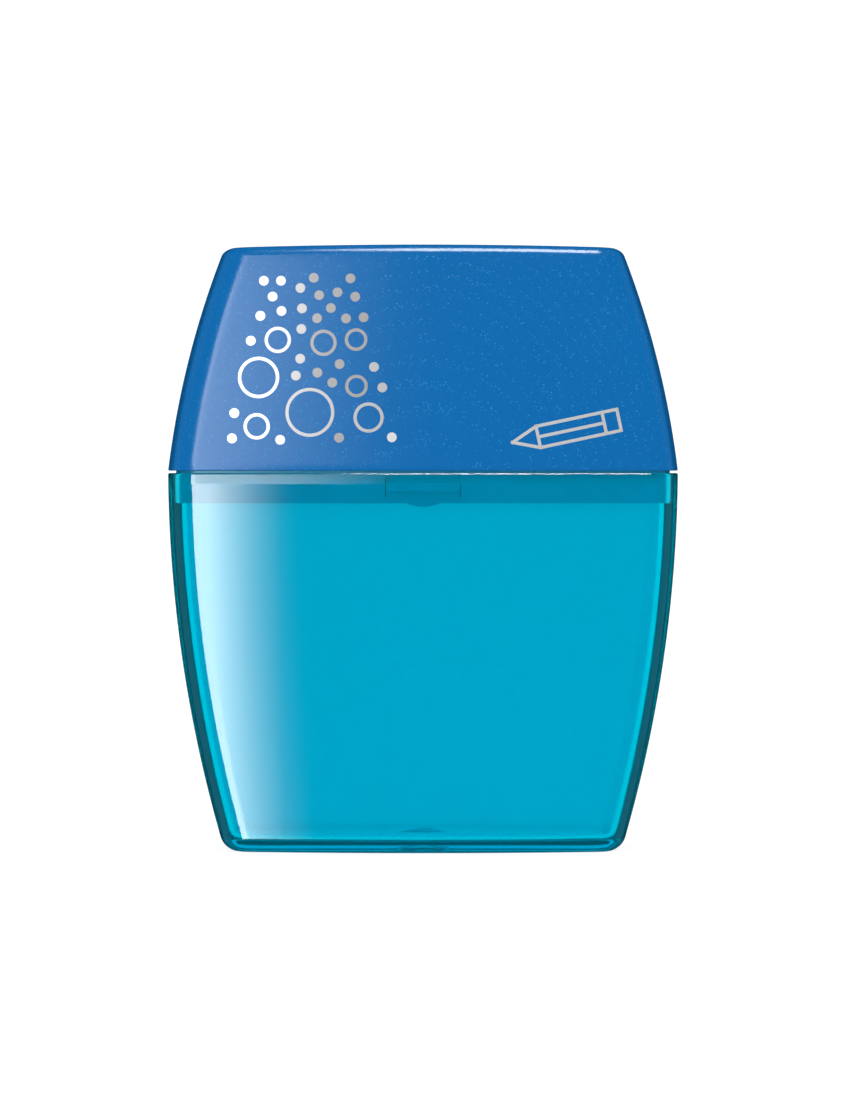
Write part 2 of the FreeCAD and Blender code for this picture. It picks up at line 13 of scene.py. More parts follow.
import bmesh
import bpy
import numpy as np
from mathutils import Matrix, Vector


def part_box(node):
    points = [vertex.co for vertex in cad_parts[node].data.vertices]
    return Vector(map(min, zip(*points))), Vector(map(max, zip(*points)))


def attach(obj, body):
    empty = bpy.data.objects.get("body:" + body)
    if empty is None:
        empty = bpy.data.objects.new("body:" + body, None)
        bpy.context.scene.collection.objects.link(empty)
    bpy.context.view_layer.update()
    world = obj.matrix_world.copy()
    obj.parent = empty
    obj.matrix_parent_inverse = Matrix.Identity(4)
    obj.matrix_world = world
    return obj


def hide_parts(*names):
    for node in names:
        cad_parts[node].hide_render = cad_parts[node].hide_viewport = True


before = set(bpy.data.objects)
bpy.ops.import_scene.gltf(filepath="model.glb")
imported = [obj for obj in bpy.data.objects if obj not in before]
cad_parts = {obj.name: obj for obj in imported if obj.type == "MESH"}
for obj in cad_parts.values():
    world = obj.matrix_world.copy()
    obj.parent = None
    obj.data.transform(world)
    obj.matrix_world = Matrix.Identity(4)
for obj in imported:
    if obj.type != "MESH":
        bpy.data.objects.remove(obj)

Array = np.ndarray
Colour = Tuple[float, float, float]
Rows = Tuple[Array, Array, Array]
MM = 0.001                     # one millimetre in the frame's metres
SLIVER = 1e-4                  # half the width of a step between two columns
MERGE = 2.5 * SLIVER           # millimetres within which points become one
CAD_MERGE = 0.001              # the same for the frame's own meshes
SHARP_ANGLE = math.radians(32)
BEVEL_ANGLE = math.radians(40)
LOG = logging.getLogger("sharpener")


# ---- Node helpers ----------------------------------------------------------------------------
class Link:
    """One output socket, on which arithmetic adds Math nodes."""

    def __init__(self, nodes: "Nodes", socket: bpy.types.NodeSocket) -> None:
        """Wrap a socket.

        Args:
            nodes: the node tree that it belongs to.
            socket: the output socket.
        """
        self.nodes = nodes
        self.socket = socket

    def _math(self, operation: str, *values: Any) -> "Link":
        """Add one Math node.

        Args:
            operation: the Math node's operation.
            values: its inputs, links or numbers.

        Returns:
            The node's result.
        """
        return self.nodes.node("ShaderNodeMath", {"operation": operation}, *values)

    def __add__(self, other: Any) -> "Link":
        """Sum."""
        return self._math("ADD", self, other)

    def __sub__(self, other: Any) -> "Link":
        """Difference."""
        return self._math("SUBTRACT", self, other)

    def __rsub__(self, other: Any) -> "Link":
        """Difference with the number first."""
        return self._math("SUBTRACT", other, self)

    def __mul__(self, other: Any) -> "Link":
        """Product."""
        return self._math("MULTIPLY", self, other)

    def __pow__(self, other: Any) -> "Link":
        """Power."""
        return self._math("POWER", self, other)

    def __lt__(self, other: Any) -> "Link":
        """1 where this is the smaller, else 0."""
        return self._math("LESS_THAN", self, other)

    __radd__ = __add__
    __rmul__ = __mul__


class Nodes:
    """A node tree that every node of a finish or a lamp is added to."""

    def __init__(self, tree: bpy.types.NodeTree) -> None:
        """Wrap a node tree."""
        self.tree = tree

    def node(
        self,
        kind: str,
        settings: Optional[Dict[str, Any]] = None,
        *values: Any,
        result: Any = 0,
        **named: Any,
    ) -> Link:
        """Add a node.

        Args:
            kind: the node's type.
            settings: its properties.
            values: inputs in order, links or plain values, or None to leave one alone.
            result: name or number of the output that is wanted.
            named: inputs by name, with _ for a space.

        Returns:
            The wanted output.
        """
        made = self.tree.nodes.new(kind)
        for key, value in (settings or {}).items():
            setattr(made, key, value)
        inputs = list(enumerate(values))
        inputs += [(key.replace("_", " "), value) for key, value in named.items()]
        for key, value in inputs:
            if value is not None:
                self.feed(made.inputs[key], value)
        return Link(self, made.outputs[result])

    def feed(self, socket: bpy.types.NodeSocket, value: Any) -> None:
        """Link or set one input socket.

        Args:
            socket: the input socket.
            value: a link or a plain value; a colour of three parts is made opaque.
        """
        if isinstance(value, Link):
            self.tree.links.new(value.socket, socket)
        elif socket.type == "RGBA" and len(value) == 3:
            socket.default_value = (*value, 1.0)
        else:
            socket.default_value = value


class Shader(Nodes):
    """A material's node tree with one Principled shader."""

    def __init__(self, name: str) -> None:
        """Make an empty material.

        Args:
            name: the material's name.
        """
        self.material = bpy.data.materials.new(name)
        self.material.use_nodes = True
        super().__init__(self.material.node_tree)
        self.tree.nodes.clear()
        self.output = self.tree.nodes.new("ShaderNodeOutputMaterial")
        self.surface = self.tree.nodes.new("ShaderNodeBsdfPrincipled")
        self.tree.links.new(self.surface.outputs["BSDF"], self.output.inputs["Surface"])

    def set(self, **sockets: Any) -> None:
        """Set the Principled shader's sockets by name, with _ for a space."""
        for key, value in sockets.items():
            self.feed(self.surface.inputs[key.replace("_", " ")], value)

    def place(self) -> Link:
        """The object's own coordinates, in metres."""
        return self.node("ShaderNodeTexCoord", result="Object")

    def noise(self, place: Link, size: float, detail: float = 2.0, stretch: Any = None) -> Link:
        """Noise whose features are about `size` millimetres.

        Args:
            place: coordinates in metres.
            size: size of a feature.
            detail: finer octaves.
            stretch: factors along X, Y and Z, or None.

        Returns:
            The noise from 0 to 1.
        """
        if stretch is not None:
            place = self.node("ShaderNodeMapping", None, Vector=place, Scale=stretch)
        scale = 1.0 / (size * MM)
        return self.node("ShaderNodeTexNoise", None, Vector=place, Scale=scale, Detail=detail)

    def tint(self, share: Link, first: Any, second: Any) -> Link:
        """Colour that goes from `first` to `second` with the share.

        Args:
            share: 0 to 1.
            first: colour at 0, a link or three parts.
            second: colour at 1, a link or three parts.

        Returns:
            The mixed colour.
        """
        # a Mix node's two colours are its inputs 6 and 7, and its mixed colour is its output 2
        unused = (None,) * 5
        settings = {"data_type": "RGBA"}
        return self.node("ShaderNodeMix", settings, share, *unused, first, second, result=2)

    def bump(self, height: Link, depth: float, strength: float) -> Link:
        """Normal from a height.

        Args:
            height: 0 to 1.
            depth: relief in millimetres.
            strength: share of the relief that is used.

        Returns:
            The bent normal.
        """
        return self.node(
            "ShaderNodeBump", None, Strength=strength, Distance=depth * MM, Height=height
        )


# ---- Finishes --------------------------------------------------------------------------------
@dataclass(frozen=True)
class ClearPlastic:
    """Polished translucent plastic, tinted at its surfaces and by its thickness.

    Attributes:
        surface: tint that light takes at each surface.
        passes: colour that the inside lets pass.
        density: how strongly the inside absorbs the rest, per metre.
        clear: share of light that goes in; the rest is scattered back.
        roughness: roughness where the surface is clearest.
        haze: roughness that a fine haze adds.
        haze_size: size of the haze's clouds, in millimetres.
        index: refractive index.
        wave_size: width of the moulding's slight waves, in millimetres.
        wave_depth: their relief in millimetres.
    """

    surface: Colour = (0.0, 0.64, 0.785)
    passes: Colour = (0.0, 0.83, 0.935)
    density: float = 200.0
    clear: float = 0.91
    roughness: float = 0.045
    haze: float = 0.012
    haze_size: float = 2.5
    index: float = 1.56
    wave_size: float = 9.0
    wave_depth: float = 0.02

    def material(self) -> bpy.types.Material:
        """Build the material.

        Returns:
            The material.
        """
        shader = Shader("clear_cyan")
        place = shader.place()
        wave = shader.noise(place, self.wave_size, 1.0)
        haze = shader.noise(place, self.haze_size, 3.0)
        shader.set(
            Base_Color=self.surface,
            Transmission_Weight=self.clear,
            IOR=self.index,
            Roughness=self.roughness + haze * self.haze,
            Normal=shader.bump(wave, self.wave_depth, 0.25),
        )
        inside = shader.node(
            "ShaderNodeVolumeAbsorption", None, Color=self.passes, Density=self.density
        )
        shader.feed(shader.output.inputs["Volume"], inside)
        return shader.material


@dataclass(frozen=True)
class GlitterSatin:
    """Satin opaque plastic with a fine moulded texture and small glitter flecks, lightened by a
    painted glint of random strength.

    Attributes:
        base: the plastic's colour.
        cloudy: brightness of its lightest clouds, as a share of the colour.
        cloud_size: their size in millimetres.
        fleck: colour of the brightest flecks, the glitter's own lighter colour with a painted glint
            on it.
        fleck_pitch: spacing of the cells that may hold a fleck, in millimetres.
        fleck_radius: radius of a fleck, as a share of its cell.
        fleck_share: share of the cells that hold one.
        grain: size of the moulded texture, in millimetres.
        relief: its depth in millimetres.
        roughness: middle roughness.
        spread: how far the texture moves the roughness.
        index: refractive index.
        shine: specular level.
    """

    base: Colour = (0.0012, 0.128, 0.385)
    cloudy: float = 1.08
    cloud_size: float = 7.0
    fleck: Colour = (0.02, 0.25, 0.60)
    fleck_pitch: float = 0.26
    fleck_radius: float = 0.30
    fleck_share: float = 0.80
    grain: float = 0.21
    relief: float = 0.020
    roughness: float = 0.18
    spread: float = 0.10
    index: float = 1.49
    shine: float = 0.25

    def material(self) -> bpy.types.Material:
        """Build the material.

        Returns:
            The material.
        """
        shader = Shader("satin_blue")
        place = shader.place()
        cells = {"feature": "F1", "distance": "EUCLIDEAN"}
        spacing = {"Vector": place, "Scale": 1.0 / (self.fleck_pitch * MM)}
        near = shader.node("ShaderNodeTexVoronoi", cells, **spacing)
        chance = shader.node("ShaderNodeTexVoronoi", cells, result="Color", **spacing)
        present = shader.node("ShaderNodeSeparateColor", None, chance, result=0)
        shine = shader.node("ShaderNodeSeparateColor", None, chance, result=1)
        mask = (near < self.fleck_radius) * (present < self.fleck_share)
        cloud = shader.noise(place, self.cloud_size, 2.0)
        ground = shader.tint(cloud, self.base, tuple(part * self.cloudy for part in self.base))
        # flecks: real glitter, painted lighter by a random glint strength, few bright and most
        # faint
        fleck_painted_glint = shader.tint(shine * shine * shine, self.base, self.fleck)
        grain = shader.noise(place, self.grain, 3.0)
        shader.set(
            Base_Color=shader.tint(mask, ground, fleck_painted_glint),
            Roughness=self.roughness + (grain - 0.5) * self.spread,
            IOR=self.index,
            Specular_IOR_Level=self.shine,
            Normal=shader.bump(grain * 0.8 + mask * shine * 0.3, self.relief, 0.75),
        )
        return shader.material


@dataclass(frozen=True)
class MouldedPlastic:
    """Plain moulded plastic with a fine matt texture.

    Attributes:
        name: the material's name.
        base: its colour.
        roughness: middle roughness.
        grain: size of the texture, in millimetres.
        shine: specular level.
        spread: how far the texture moves the roughness.
        flow_size: size of the flow marks, in millimetres.
        darker: brightness of the darkest of them, as a share of the colour.
    """

    name: str
    base: Colour
    roughness: float = 0.42
    grain: float = 0.25
    shine: float = 0.4
    spread: float = 0.12
    flow_size: float = 6.0
    darker: float = 0.88

    def material(self) -> bpy.types.Material:
        """Build the material.

        Returns:
            The material.
        """
        shader = Shader(self.name)
        place = shader.place()
        grain = shader.noise(place, self.grain, 3.0)
        flow = shader.noise(place, self.flow_size, 2.0, (1.0, 1.0, 0.4))
        darker = tuple(part * self.darker for part in self.base)
        shader.set(
            Base_Color=shader.tint(flow, darker, self.base),
            Roughness=self.roughness + (grain - 0.5) * self.spread,
            Specular_IOR_Level=self.shine,
            Normal=shader.bump(grain, 0.015, 0.4),
        )
        return shader.material


@dataclass(frozen=True)
class GroundSteel:
    """Steel with fine grinding marks along one direction.

    Attributes:
        name: the material's name.
        base: its colour.
        stretch: factors on the marks' coordinates; a small one draws them out along that axis.
        roughness: lowest roughness.
        spread: how far the marks raise it.
        mark_size: width of a mark, in millimetres.
        stain_size: size of the stains, in millimetres.
        stained: brightness of the dullest of them, as a share of the colour.
    """

    name: str
    base: Colour
    stretch: Tuple[float, float, float]
    roughness: float = 0.28
    spread: float = 0.14
    mark_size: float = 0.12
    stain_size: float = 3.0
    stained: float = 0.78

    def material(self) -> bpy.types.Material:
        """Build the material.

        Returns:
            The material.
        """
        shader = Shader(self.name)
        place = shader.place()
        marks = shader.noise(place, self.mark_size, 4.0, self.stretch)
        stain = shader.noise(place, self.stain_size, 3.0)
        dull = tuple(part * self.stained for part in self.base)
        shader.set(
            Base_Color=shader.tint(stain, dull, self.base),
            Metallic=1.0,
            Roughness=self.roughness + marks * self.spread,
            Normal=shader.bump(marks, 0.006, 0.5),
        )
        return shader.material


@dataclass(frozen=True)
class StampedFoil:
    """Hot-stamped silver foil; each mark's brightness is a painted sheen, kept in an attribute on
    its points.

    Attributes:
        dark: colour at painted sheen 0.
        light: colour at painted sheen 1.
        metallic: share of it that is metal.
        roughness: lowest roughness.
        spread: how far the grain raises it.
        grain: size of the grain, in millimetres.
        worn: how far the grain darkens a mark.
    """

    dark: Colour = (0.0, 0.0, 0.0)
    light: Colour = (0.91, 0.93, 0.94)
    metallic: float = 0.3
    roughness: float = 0.34
    spread: float = 0.10
    grain: float = 0.22
    worn: float = 0.10

    def material(self) -> bpy.types.Material:
        """Build the material.

        Returns:
            The material.
        """
        shader = Shader("foil")
        # each mark's painted sheen, a brightness kept on its points, lightens or darkens the foil's
        # colour
        painted_sheen = shader.node("ShaderNodeAttribute", {"attribute_name": "painted_sheen"}, result="Fac")
        grain = shader.noise(shader.place(), self.grain, 3.0)
        shader.set(
            Base_Color=shader.tint(painted_sheen - (1.0 - grain) * self.worn, self.dark, self.light),
            Metallic=self.metallic,
            Roughness=self.roughness + grain * self.spread,
            Normal=shader.bump(grain, 0.01, 0.35),
        )
        return shader.material


# ---- Surfaces --------------------------------------------------------------------------------
@dataclass(frozen=True)
class Wall:
    """One outer wall: an upright arc that leans in from the joint, bowed in plan as well.

    Attributes:
        half: distance from the axis at the joint.
        plan: radius seen from above.
        lean: lean at the joint, in degrees.
        bow: radius of the upright arc.
    """

    half: float
    plan: float
    lean: float
    bow: float

    def tilt(self, rim: float, away: int, z: Array, inset: Array) -> Array:
        """Tilt of the outward normal above the level, the arc sine of height over radius.

        Args:
            rim: height of the joint.
            away: 1 for a wall that rises from the joint, -1 for one that goes down.
            z: heights.
            inset: how far the surface is set in along its normal.

        Returns:
            The tilt in radians.
        """
        centre = rim - away * self.bow * math.sin(math.radians(self.lean))
        return np.arcsin((z - centre) / (self.bow - inset))

    def reach(self, rim: float, away: int, z: Array, inset: Array) -> Array:
        """Radius of the plan circle: the upright arc's own reach, moved out to the plan radius.

        Args:
            rim: height of the joint.
            away: 1 for a wall that rises from the joint, -1 for one that goes down.
            z: heights.
            inset: how far the surface is set in along its normal.

        Returns:
            The radius at each height.
        """
        upright = (self.bow - inset) * np.cos(self.tilt(rim, away, z, inset))
        return self.plan - self.bow * math.cos(math.radians(self.lean)) + upright


@dataclass(frozen=True)
class Form:
    """Outer form of lid or reservoir: four curved walls with rounded corners.

    A column number u runs through one quarter: 0 to 1 along the end wall from its middle, 1 to 2
    round the corner, 2 to 3 along the face to x = MIDDLE, and 3 to 4 on to x = 0.

    Attributes:
        rim: height of the joint, where the walls are widest.
        away: 1 for the lid, which rises from the joint, and -1 for the reservoir.
        end: the end walls.
        face: the front and back walls.
        corner: radius of the four upright corners.
    """

    rim: float
    away: int
    end: Wall
    face: Wall
    corner: float = 3.6

    MIDDLE = 15.0

    def tilt(self, u: Array, z: Array, inset: Array) -> Array:
        """Tilt of the walls, turning evenly from the end's to the face's round the corner.

        Args:
            u: column numbers.
            z: heights.
            inset: how far the surface is set in along its normal.

        Returns:
            The tilt in radians.
        """
        share = np.clip(u - 1.0, 0.0, 1.0)
        end = self.end.tilt(self.rim, self.away, z, inset)
        face = self.face.tilt(self.rim, self.away, z, inset)
        return end + (face - end) * share

    def plan(self, u: Array, z: Array, inset: Array, grow: Array = 0.0) -> Tuple[Array, Array]:
        """Point of the quarter outline at a height.

        The end is a circle about (half - plan, 0) and the face one about (0, half - plan). The
        corner's circle touches both from inside, so its centre is where two circles cross that
        are smaller by the corner's radius.

        Args:
            u: column numbers.
            z: heights.
            inset: how far the surface is set in along its normal.
            grow: how far it then stands out level, as a rounding's points do.

        Returns:
            x and y, both positive.
        """
        u, z, inset, grow = np.broadcast_arrays(u, z, inset, grow)
        end_x = self.end.half - self.end.plan
        face_y = self.face.half - self.face.plan
        end_r = self.end.reach(self.rim, self.away, z, inset) + grow
        face_r = self.face.reach(self.rim, self.away, z, inset) + grow
        corner = self.corner - inset + grow
        near, far = end_r - corner, face_r - corner
        apart = math.hypot(end_x, face_y)
        along = (near**2 - far**2 + apart**2) / (2 * apart)
        aside = np.sqrt(near**2 - along**2)
        step_x, step_y = -end_x / apart, face_y / apart
        centre_x = end_x + along * step_x - aside * step_y
        centre_y = along * step_y + aside * step_x
        from_end = np.arctan2(centre_y, centre_x - end_x)
        from_face = np.arctan2(centre_y - face_y, centre_x)
        last = np.arccos(self.MIDDLE / face_r)
        turn = from_end + (from_face - from_end) * (u - 1.0)
        sweep = from_face + (last - from_face) * (u - 2.0)
        level = self.MIDDLE * (4.0 - u)
        zones = [u <= 1.0, u <= 2.0, u <= 3.0]
        x_parts = [
            end_x + end_r * np.cos(u * from_end),
            centre_x + corner * np.cos(turn),
            face_r * np.cos(sweep),
        ]
        y_parts = [
            end_r * np.sin(u * from_end),
            centre_y + corner * np.sin(turn),
            face_y + face_r * np.sin(sweep),
        ]
        middle_y = face_y + np.sqrt(face_r**2 - np.minimum(level, self.MIDDLE) ** 2)
        return np.select(zones, x_parts, level), np.select(zones, y_parts, middle_y)

    def front(self, x: Array, z: Array, inset: float) -> Array:
        """Points on the front wall, on the face's circle or, past its end, on the corner's.

        Args:
            x: places across the front.
            z: heights.
            inset: how far the points are set in along the normal.

        Returns:
            Points, with x, y and z last.
        """
        face_y = self.face.half - self.face.plan
        face_r = self.face.reach(self.rim, self.away, z, inset)
        inner_x, inner_y = self.plan(np.full_like(z, 2.0), z, np.full_like(z, inset))
        corner = self.corner - inset
        reach = np.hypot(inner_x, inner_y - face_y)
        centre_x = inner_x * (1.0 - corner / reach)
        centre_y = inner_y - (inner_y - face_y) * corner / reach
        past = np.clip(np.abs(x) - centre_x, 0.0, corner)
        on_corner = centre_y + np.sqrt(corner**2 - past**2)
        on_face = face_y + np.sqrt(face_r**2 - x**2)
        y = np.where(np.abs(x) > inner_x, on_corner, on_face)
        return np.stack([x, -y, z], axis=-1)


def column_of(x: Array) -> Array:
    """Column number of a place x between 0 and MIDDLE."""
    return 4.0 - np.asarray(x, float) / Form.MIDDLE


def place_of(u: Array) -> Array:
    """Place x of a column between MIDDLE and 0, and MIDDLE for all columns before it."""
    return np.where(u >= 3.0, Form.MIDDLE * (4.0 - u), Form.MIDDLE)


def backwards(part: Rows) -> Rows:
    """The same rows in the opposite order."""
    return tuple(values[::-1] for values in part)


def around(x: Array, y: Array, z: Array) -> Array:
    """Carry a quarter once round: as it is, then mirrored in X, in both, and in Y.

    Args:
        x, y, z: arrays of rows by quarter columns.

    Returns:
        Points of rows by columns by 3, anticlockwise seen from above.
    """
    x, y, z = np.broadcast_arrays(x, y, z)
    quarter = np.stack([x, y, z], axis=-1)
    back = quarter[:, ::-1]
    return np.concatenate(
        [
            quarter,
            back[:, 1:] * (-1, 1, 1),
            quarter[:, 1:] * (-1, -1, 1),
            back[:, 1:-1] * (1, -1, 1),
        ],
        axis=1,
    )


def rounding(
    form: Form, u: Array, inset: float, radius: float, level: Array, up: bool, steps: int
) -> Rows:
    """Rounded edge between a level plane and the wall, a ball rolled along inside them.

    The ball's centre lies `radius` in from both; the arc runs from straight up or down to the
    wall's own normal, in the upright plane of each column.

    Args:
        form: outer form.
        u: column numbers.
        inset: inset of the wall.
        radius: radius of the ball.
        level: height of the plane in each column.
        up: whether the plane is above the ball.
        steps: number of steps in the arc.

    Returns:
        x, y, z from the plane to the wall.
    """
    side = 1.0 if up else -1.0
    ball = np.broadcast_to(np.asarray(level, float) - side * radius, u.shape)[None, :]
    columns = u[None, :]
    tilt = form.tilt(columns, ball, inset + radius)
    share = np.linspace(0.0, 1.0, steps + 1)[:, None]
    angle = side * math.pi / 2 + (tilt - side * math.pi / 2) * share
    x, y = form.plan(columns, ball, inset + radius, radius * np.cos(angle))
    return x, y, ball + radius * np.sin(angle)


def upright(
    form: Form, u: Array, inset: Array, low: Array, high: Array, steps: int
) -> Rows:
    """Stretch of wall between two heights of each column, in equal steps of height.

    Args:
        form: outer form.
        u: column numbers.
        inset: inset of the wall in each column.
        low: height where it starts, in each column.
        high: height where it ends.
        steps: number of steps.

    Returns:
        x, y, z from start to end.
    """
    share = np.linspace(0.0, 1.0, steps + 1)[:, None]
    low = np.broadcast_to(np.asarray(low, float), u.shape)[None, :]
    high = np.broadcast_to(np.asarray(high, float), u.shape)[None, :]
    z = low + (high - low) * share
    x, y = form.plan(u[None, :], z, np.broadcast_to(inset, u.shape)[None, :])
    return x, y, z


class Shells:
    """Closed surfaces gathered into one piece."""

    def __init__(self) -> None:
        """Start with nothing."""
        self.points: List[Array] = []
        self.faces: List[Sequence[int]] = []
        self.marks: List[Array] = []
        self.count = 0

    def _keep(self, points: Array, mark: float) -> int:
        """Store points.

        Args:
            points: points, with x, y and z last.
            mark: value kept on every point.

        Returns:
            The number of the first one.
        """
        start = self.count
        flat = points.reshape(-1, 3)
        self.points.append(flat)
        self.marks.append(np.full(len(flat), mark))
        self.count += len(flat)
        return start

    def grid(self, points: Array, loop: bool = True, ring: bool = False, mark: float = 0.0) -> None:
        """Add a grid of points as four-sided faces.

        Args:
            points: rows by columns by 3.
            loop: whether the last column joins the first.
            ring: whether the last row joins the first.
            mark: value kept on every point.
        """
        rows, columns = points.shape[:2]
        number = self._keep(points, mark) + np.arange(rows * columns).reshape(rows, columns)
        if loop:
            number = np.concatenate([number, number[:, :1]], axis=1)
        if ring:
            number = np.concatenate([number, number[:1]], axis=0)
        below, above = number[:-1], number[1:]
        quads = np.stack([below[:, :-1], below[:, 1:], above[:, 1:], above[:, :-1]], axis=-1)
        self.faces.extend(quads.reshape(-1, 4).tolist())

    def tube(self, sections: Array, mark: float = 0.0) -> None:
        """Add a closed outline carried along a path, with a flat face at each end.

        Args:
            sections: the outline at each place, rows by columns by 3.
            mark: value kept on every point.
        """
        rows, columns = sections.shape[:2]
        first = self.count
        self.grid(sections, mark=mark)
        self.faces.append(list(range(first, first + columns)))
        last = first + (rows - 1) * columns
        self.faces.append(list(range(last, last + columns)))

    def piece(self, name: str, material: bpy.types.Material, mark: str = "") -> bpy.types.Object:
        """Make the object: metres, doubles merged, faces outward, smooth between sharp edges.

        Args:
            name: the object's name.
            material: its finish.
            mark: name of the attribute that keeps the points' values, if any.

        Returns:
            The object.
        """
        mesh = bpy.data.meshes.new(name)
        mesh.from_pydata((np.concatenate(self.points) * MM).tolist(), [], self.faces)
        if mark:
            attribute = mesh.attributes.new(mark, "FLOAT", "POINT")
            attribute.data.foreach_set("value", np.concatenate(self.marks).astype(np.float32))
        return finished(name, mesh, material, MERGE)


def finished(
    name: str, mesh: bpy.types.Mesh, material: bpy.types.Material, merge: float
) -> bpy.types.Object:
    """Merge doubles, turn faces outward, set sharp edges and link the object.

    Args:
        name: the object's name.
        mesh: its mesh, in metres.
        material: its finish.
        merge: distance in millimetres within which points are one.

    Returns:
        The object.
    """
    work = bmesh.new()
    work.from_mesh(mesh)
    bmesh.ops.remove_doubles(work, verts=work.verts, dist=merge * MM)
    bmesh.ops.recalc_face_normals(work, faces=work.faces)
    work.to_mesh(mesh)
    work.free()
    mesh.shade_smooth()
    mesh.set_sharp_from_angle(angle=SHARP_ANGLE)
    mesh.materials.clear()
    mesh.materials.append(material)
    made = bpy.data.objects.new(name, mesh)
    bpy.context.scene.collection.objects.link(made)
    return made


def settle(piece: bpy.types.Object, body: str, slot: str, *nodes: str) -> None:
    """Let a piece ride on its body and stand for its nodes, which are hidden.

    Args:
        piece: the object.
        body: name of the body.
        slot: name of the finish slot; not used.
        nodes: nodes that it replaces.
    """
    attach(piece, body)
    if nodes:
        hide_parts(*nodes)
    LOG.info("%s: %d faces on %s", piece.name, len(piece.data.polygons), body)


# ---- Sizes shared by the pieces --------------------------------------------------------------
@dataclass(frozen=True)
class Layout:
    """Sizes read from the frame, and the two outer forms that follow from them.

    Attributes:
        half_width: half the width at the joint.
        half_depth: half the depth at the joint.
        rim: height of the reservoir's rim.
        lid_edge: height of the lid's lower edge.
        crest: height of the lid's highest point.
        ledge: height of the step that the skirt stands on.
        ring_top: height of the inner frame's upper edge.
        skirt_outer: inset of the skirt's outer side.
        crown: radius of the lid's top, seen from the front.
        end_plan: radius of the end walls, seen from above.
        face_plan: radius of the front and back walls, seen from above.
    """

    half_width: float
    half_depth: float
    rim: float
    lid_edge: float
    crest: float
    ledge: float
    ring_top: float
    skirt_outer: float = 0.87
    crown: float = 900.0
    end_plan: float = 40.0
    face_plan: float = 100.0

    @classmethod
    def from_frame(cls) -> "Layout":
        """Read the boxes of the frame's nodes.

        Returns:
            The layout.
        """
        _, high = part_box("reservoir")
        lid_low, lid_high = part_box("lid_shell")
        frame_low, frame_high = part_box("inner_frame")
        return cls(
            half_width=high.x / MM,
            half_depth=high.y / MM,
            rim=high.z / MM,
            lid_edge=lid_low.z / MM,
            crest=lid_high.z / MM,
            ledge=frame_low.z / MM + InnerFrame.tip_drop,
            ring_top=frame_high.z / MM,
        )

    def reservoir_form(self) -> Form:
        """Form of the reservoir, leaning in downwards.

        Returns:
            The form, without wall thickness.
        """
        end = Wall(self.half_width, self.end_plan, lean=0.4, bow=147.0)
        face = Wall(self.half_depth, self.face_plan, lean=0.4, bow=255.0)
        return Form(self.rim, -1, end, face)

    def lid_form(self) -> Form:
        """Form of the lid, leaning in upwards.

        Returns:
            The form, without wall thickness.
        """
        end = Wall(self.half_width, self.end_plan, lean=6.9, bow=96.6)
        face = Wall(self.half_depth, self.face_plan, lean=3.0, bow=190.0)
        return Form(self.lid_edge, 1, end, face)

    def top(self, x: Array) -> Array:
        """Height of the crowned top, an arc across the width."""
        return self.crest - self.crown + np.sqrt(self.crown**2 - np.asarray(x) ** 2)


def quarter_columns(
    ends: int, corners: int, faces: int, places: Sequence[float], steps: Sequence[float]
) -> Array:
    """Column numbers of a quarter.

    Args:
        ends: columns along the end wall.
        corners: columns round the corner.
        faces: columns along the face outside MIDDLE.
        places: x of further columns between 0 and MIDDLE.
        steps: x where the surface steps, each given two columns a sliver apart.

    Returns:
        Rising column numbers.
    """
    inner = list(places) + [step + side * SLIVER for step in steps for side in (-1, 1)]
    inner = np.array(sorted(inner, reverse=True))
    return np.concatenate(
        [
            np.linspace(0.0, 1.0, ends, endpoint=False),
            np.linspace(1.0, 2.0, corners, endpoint=False),
            np.linspace(2.0, 3.0, faces, endpoint=False),
            column_of(np.concatenate([[Form.MIDDLE], inner, [0.0]])),
        ]
    )


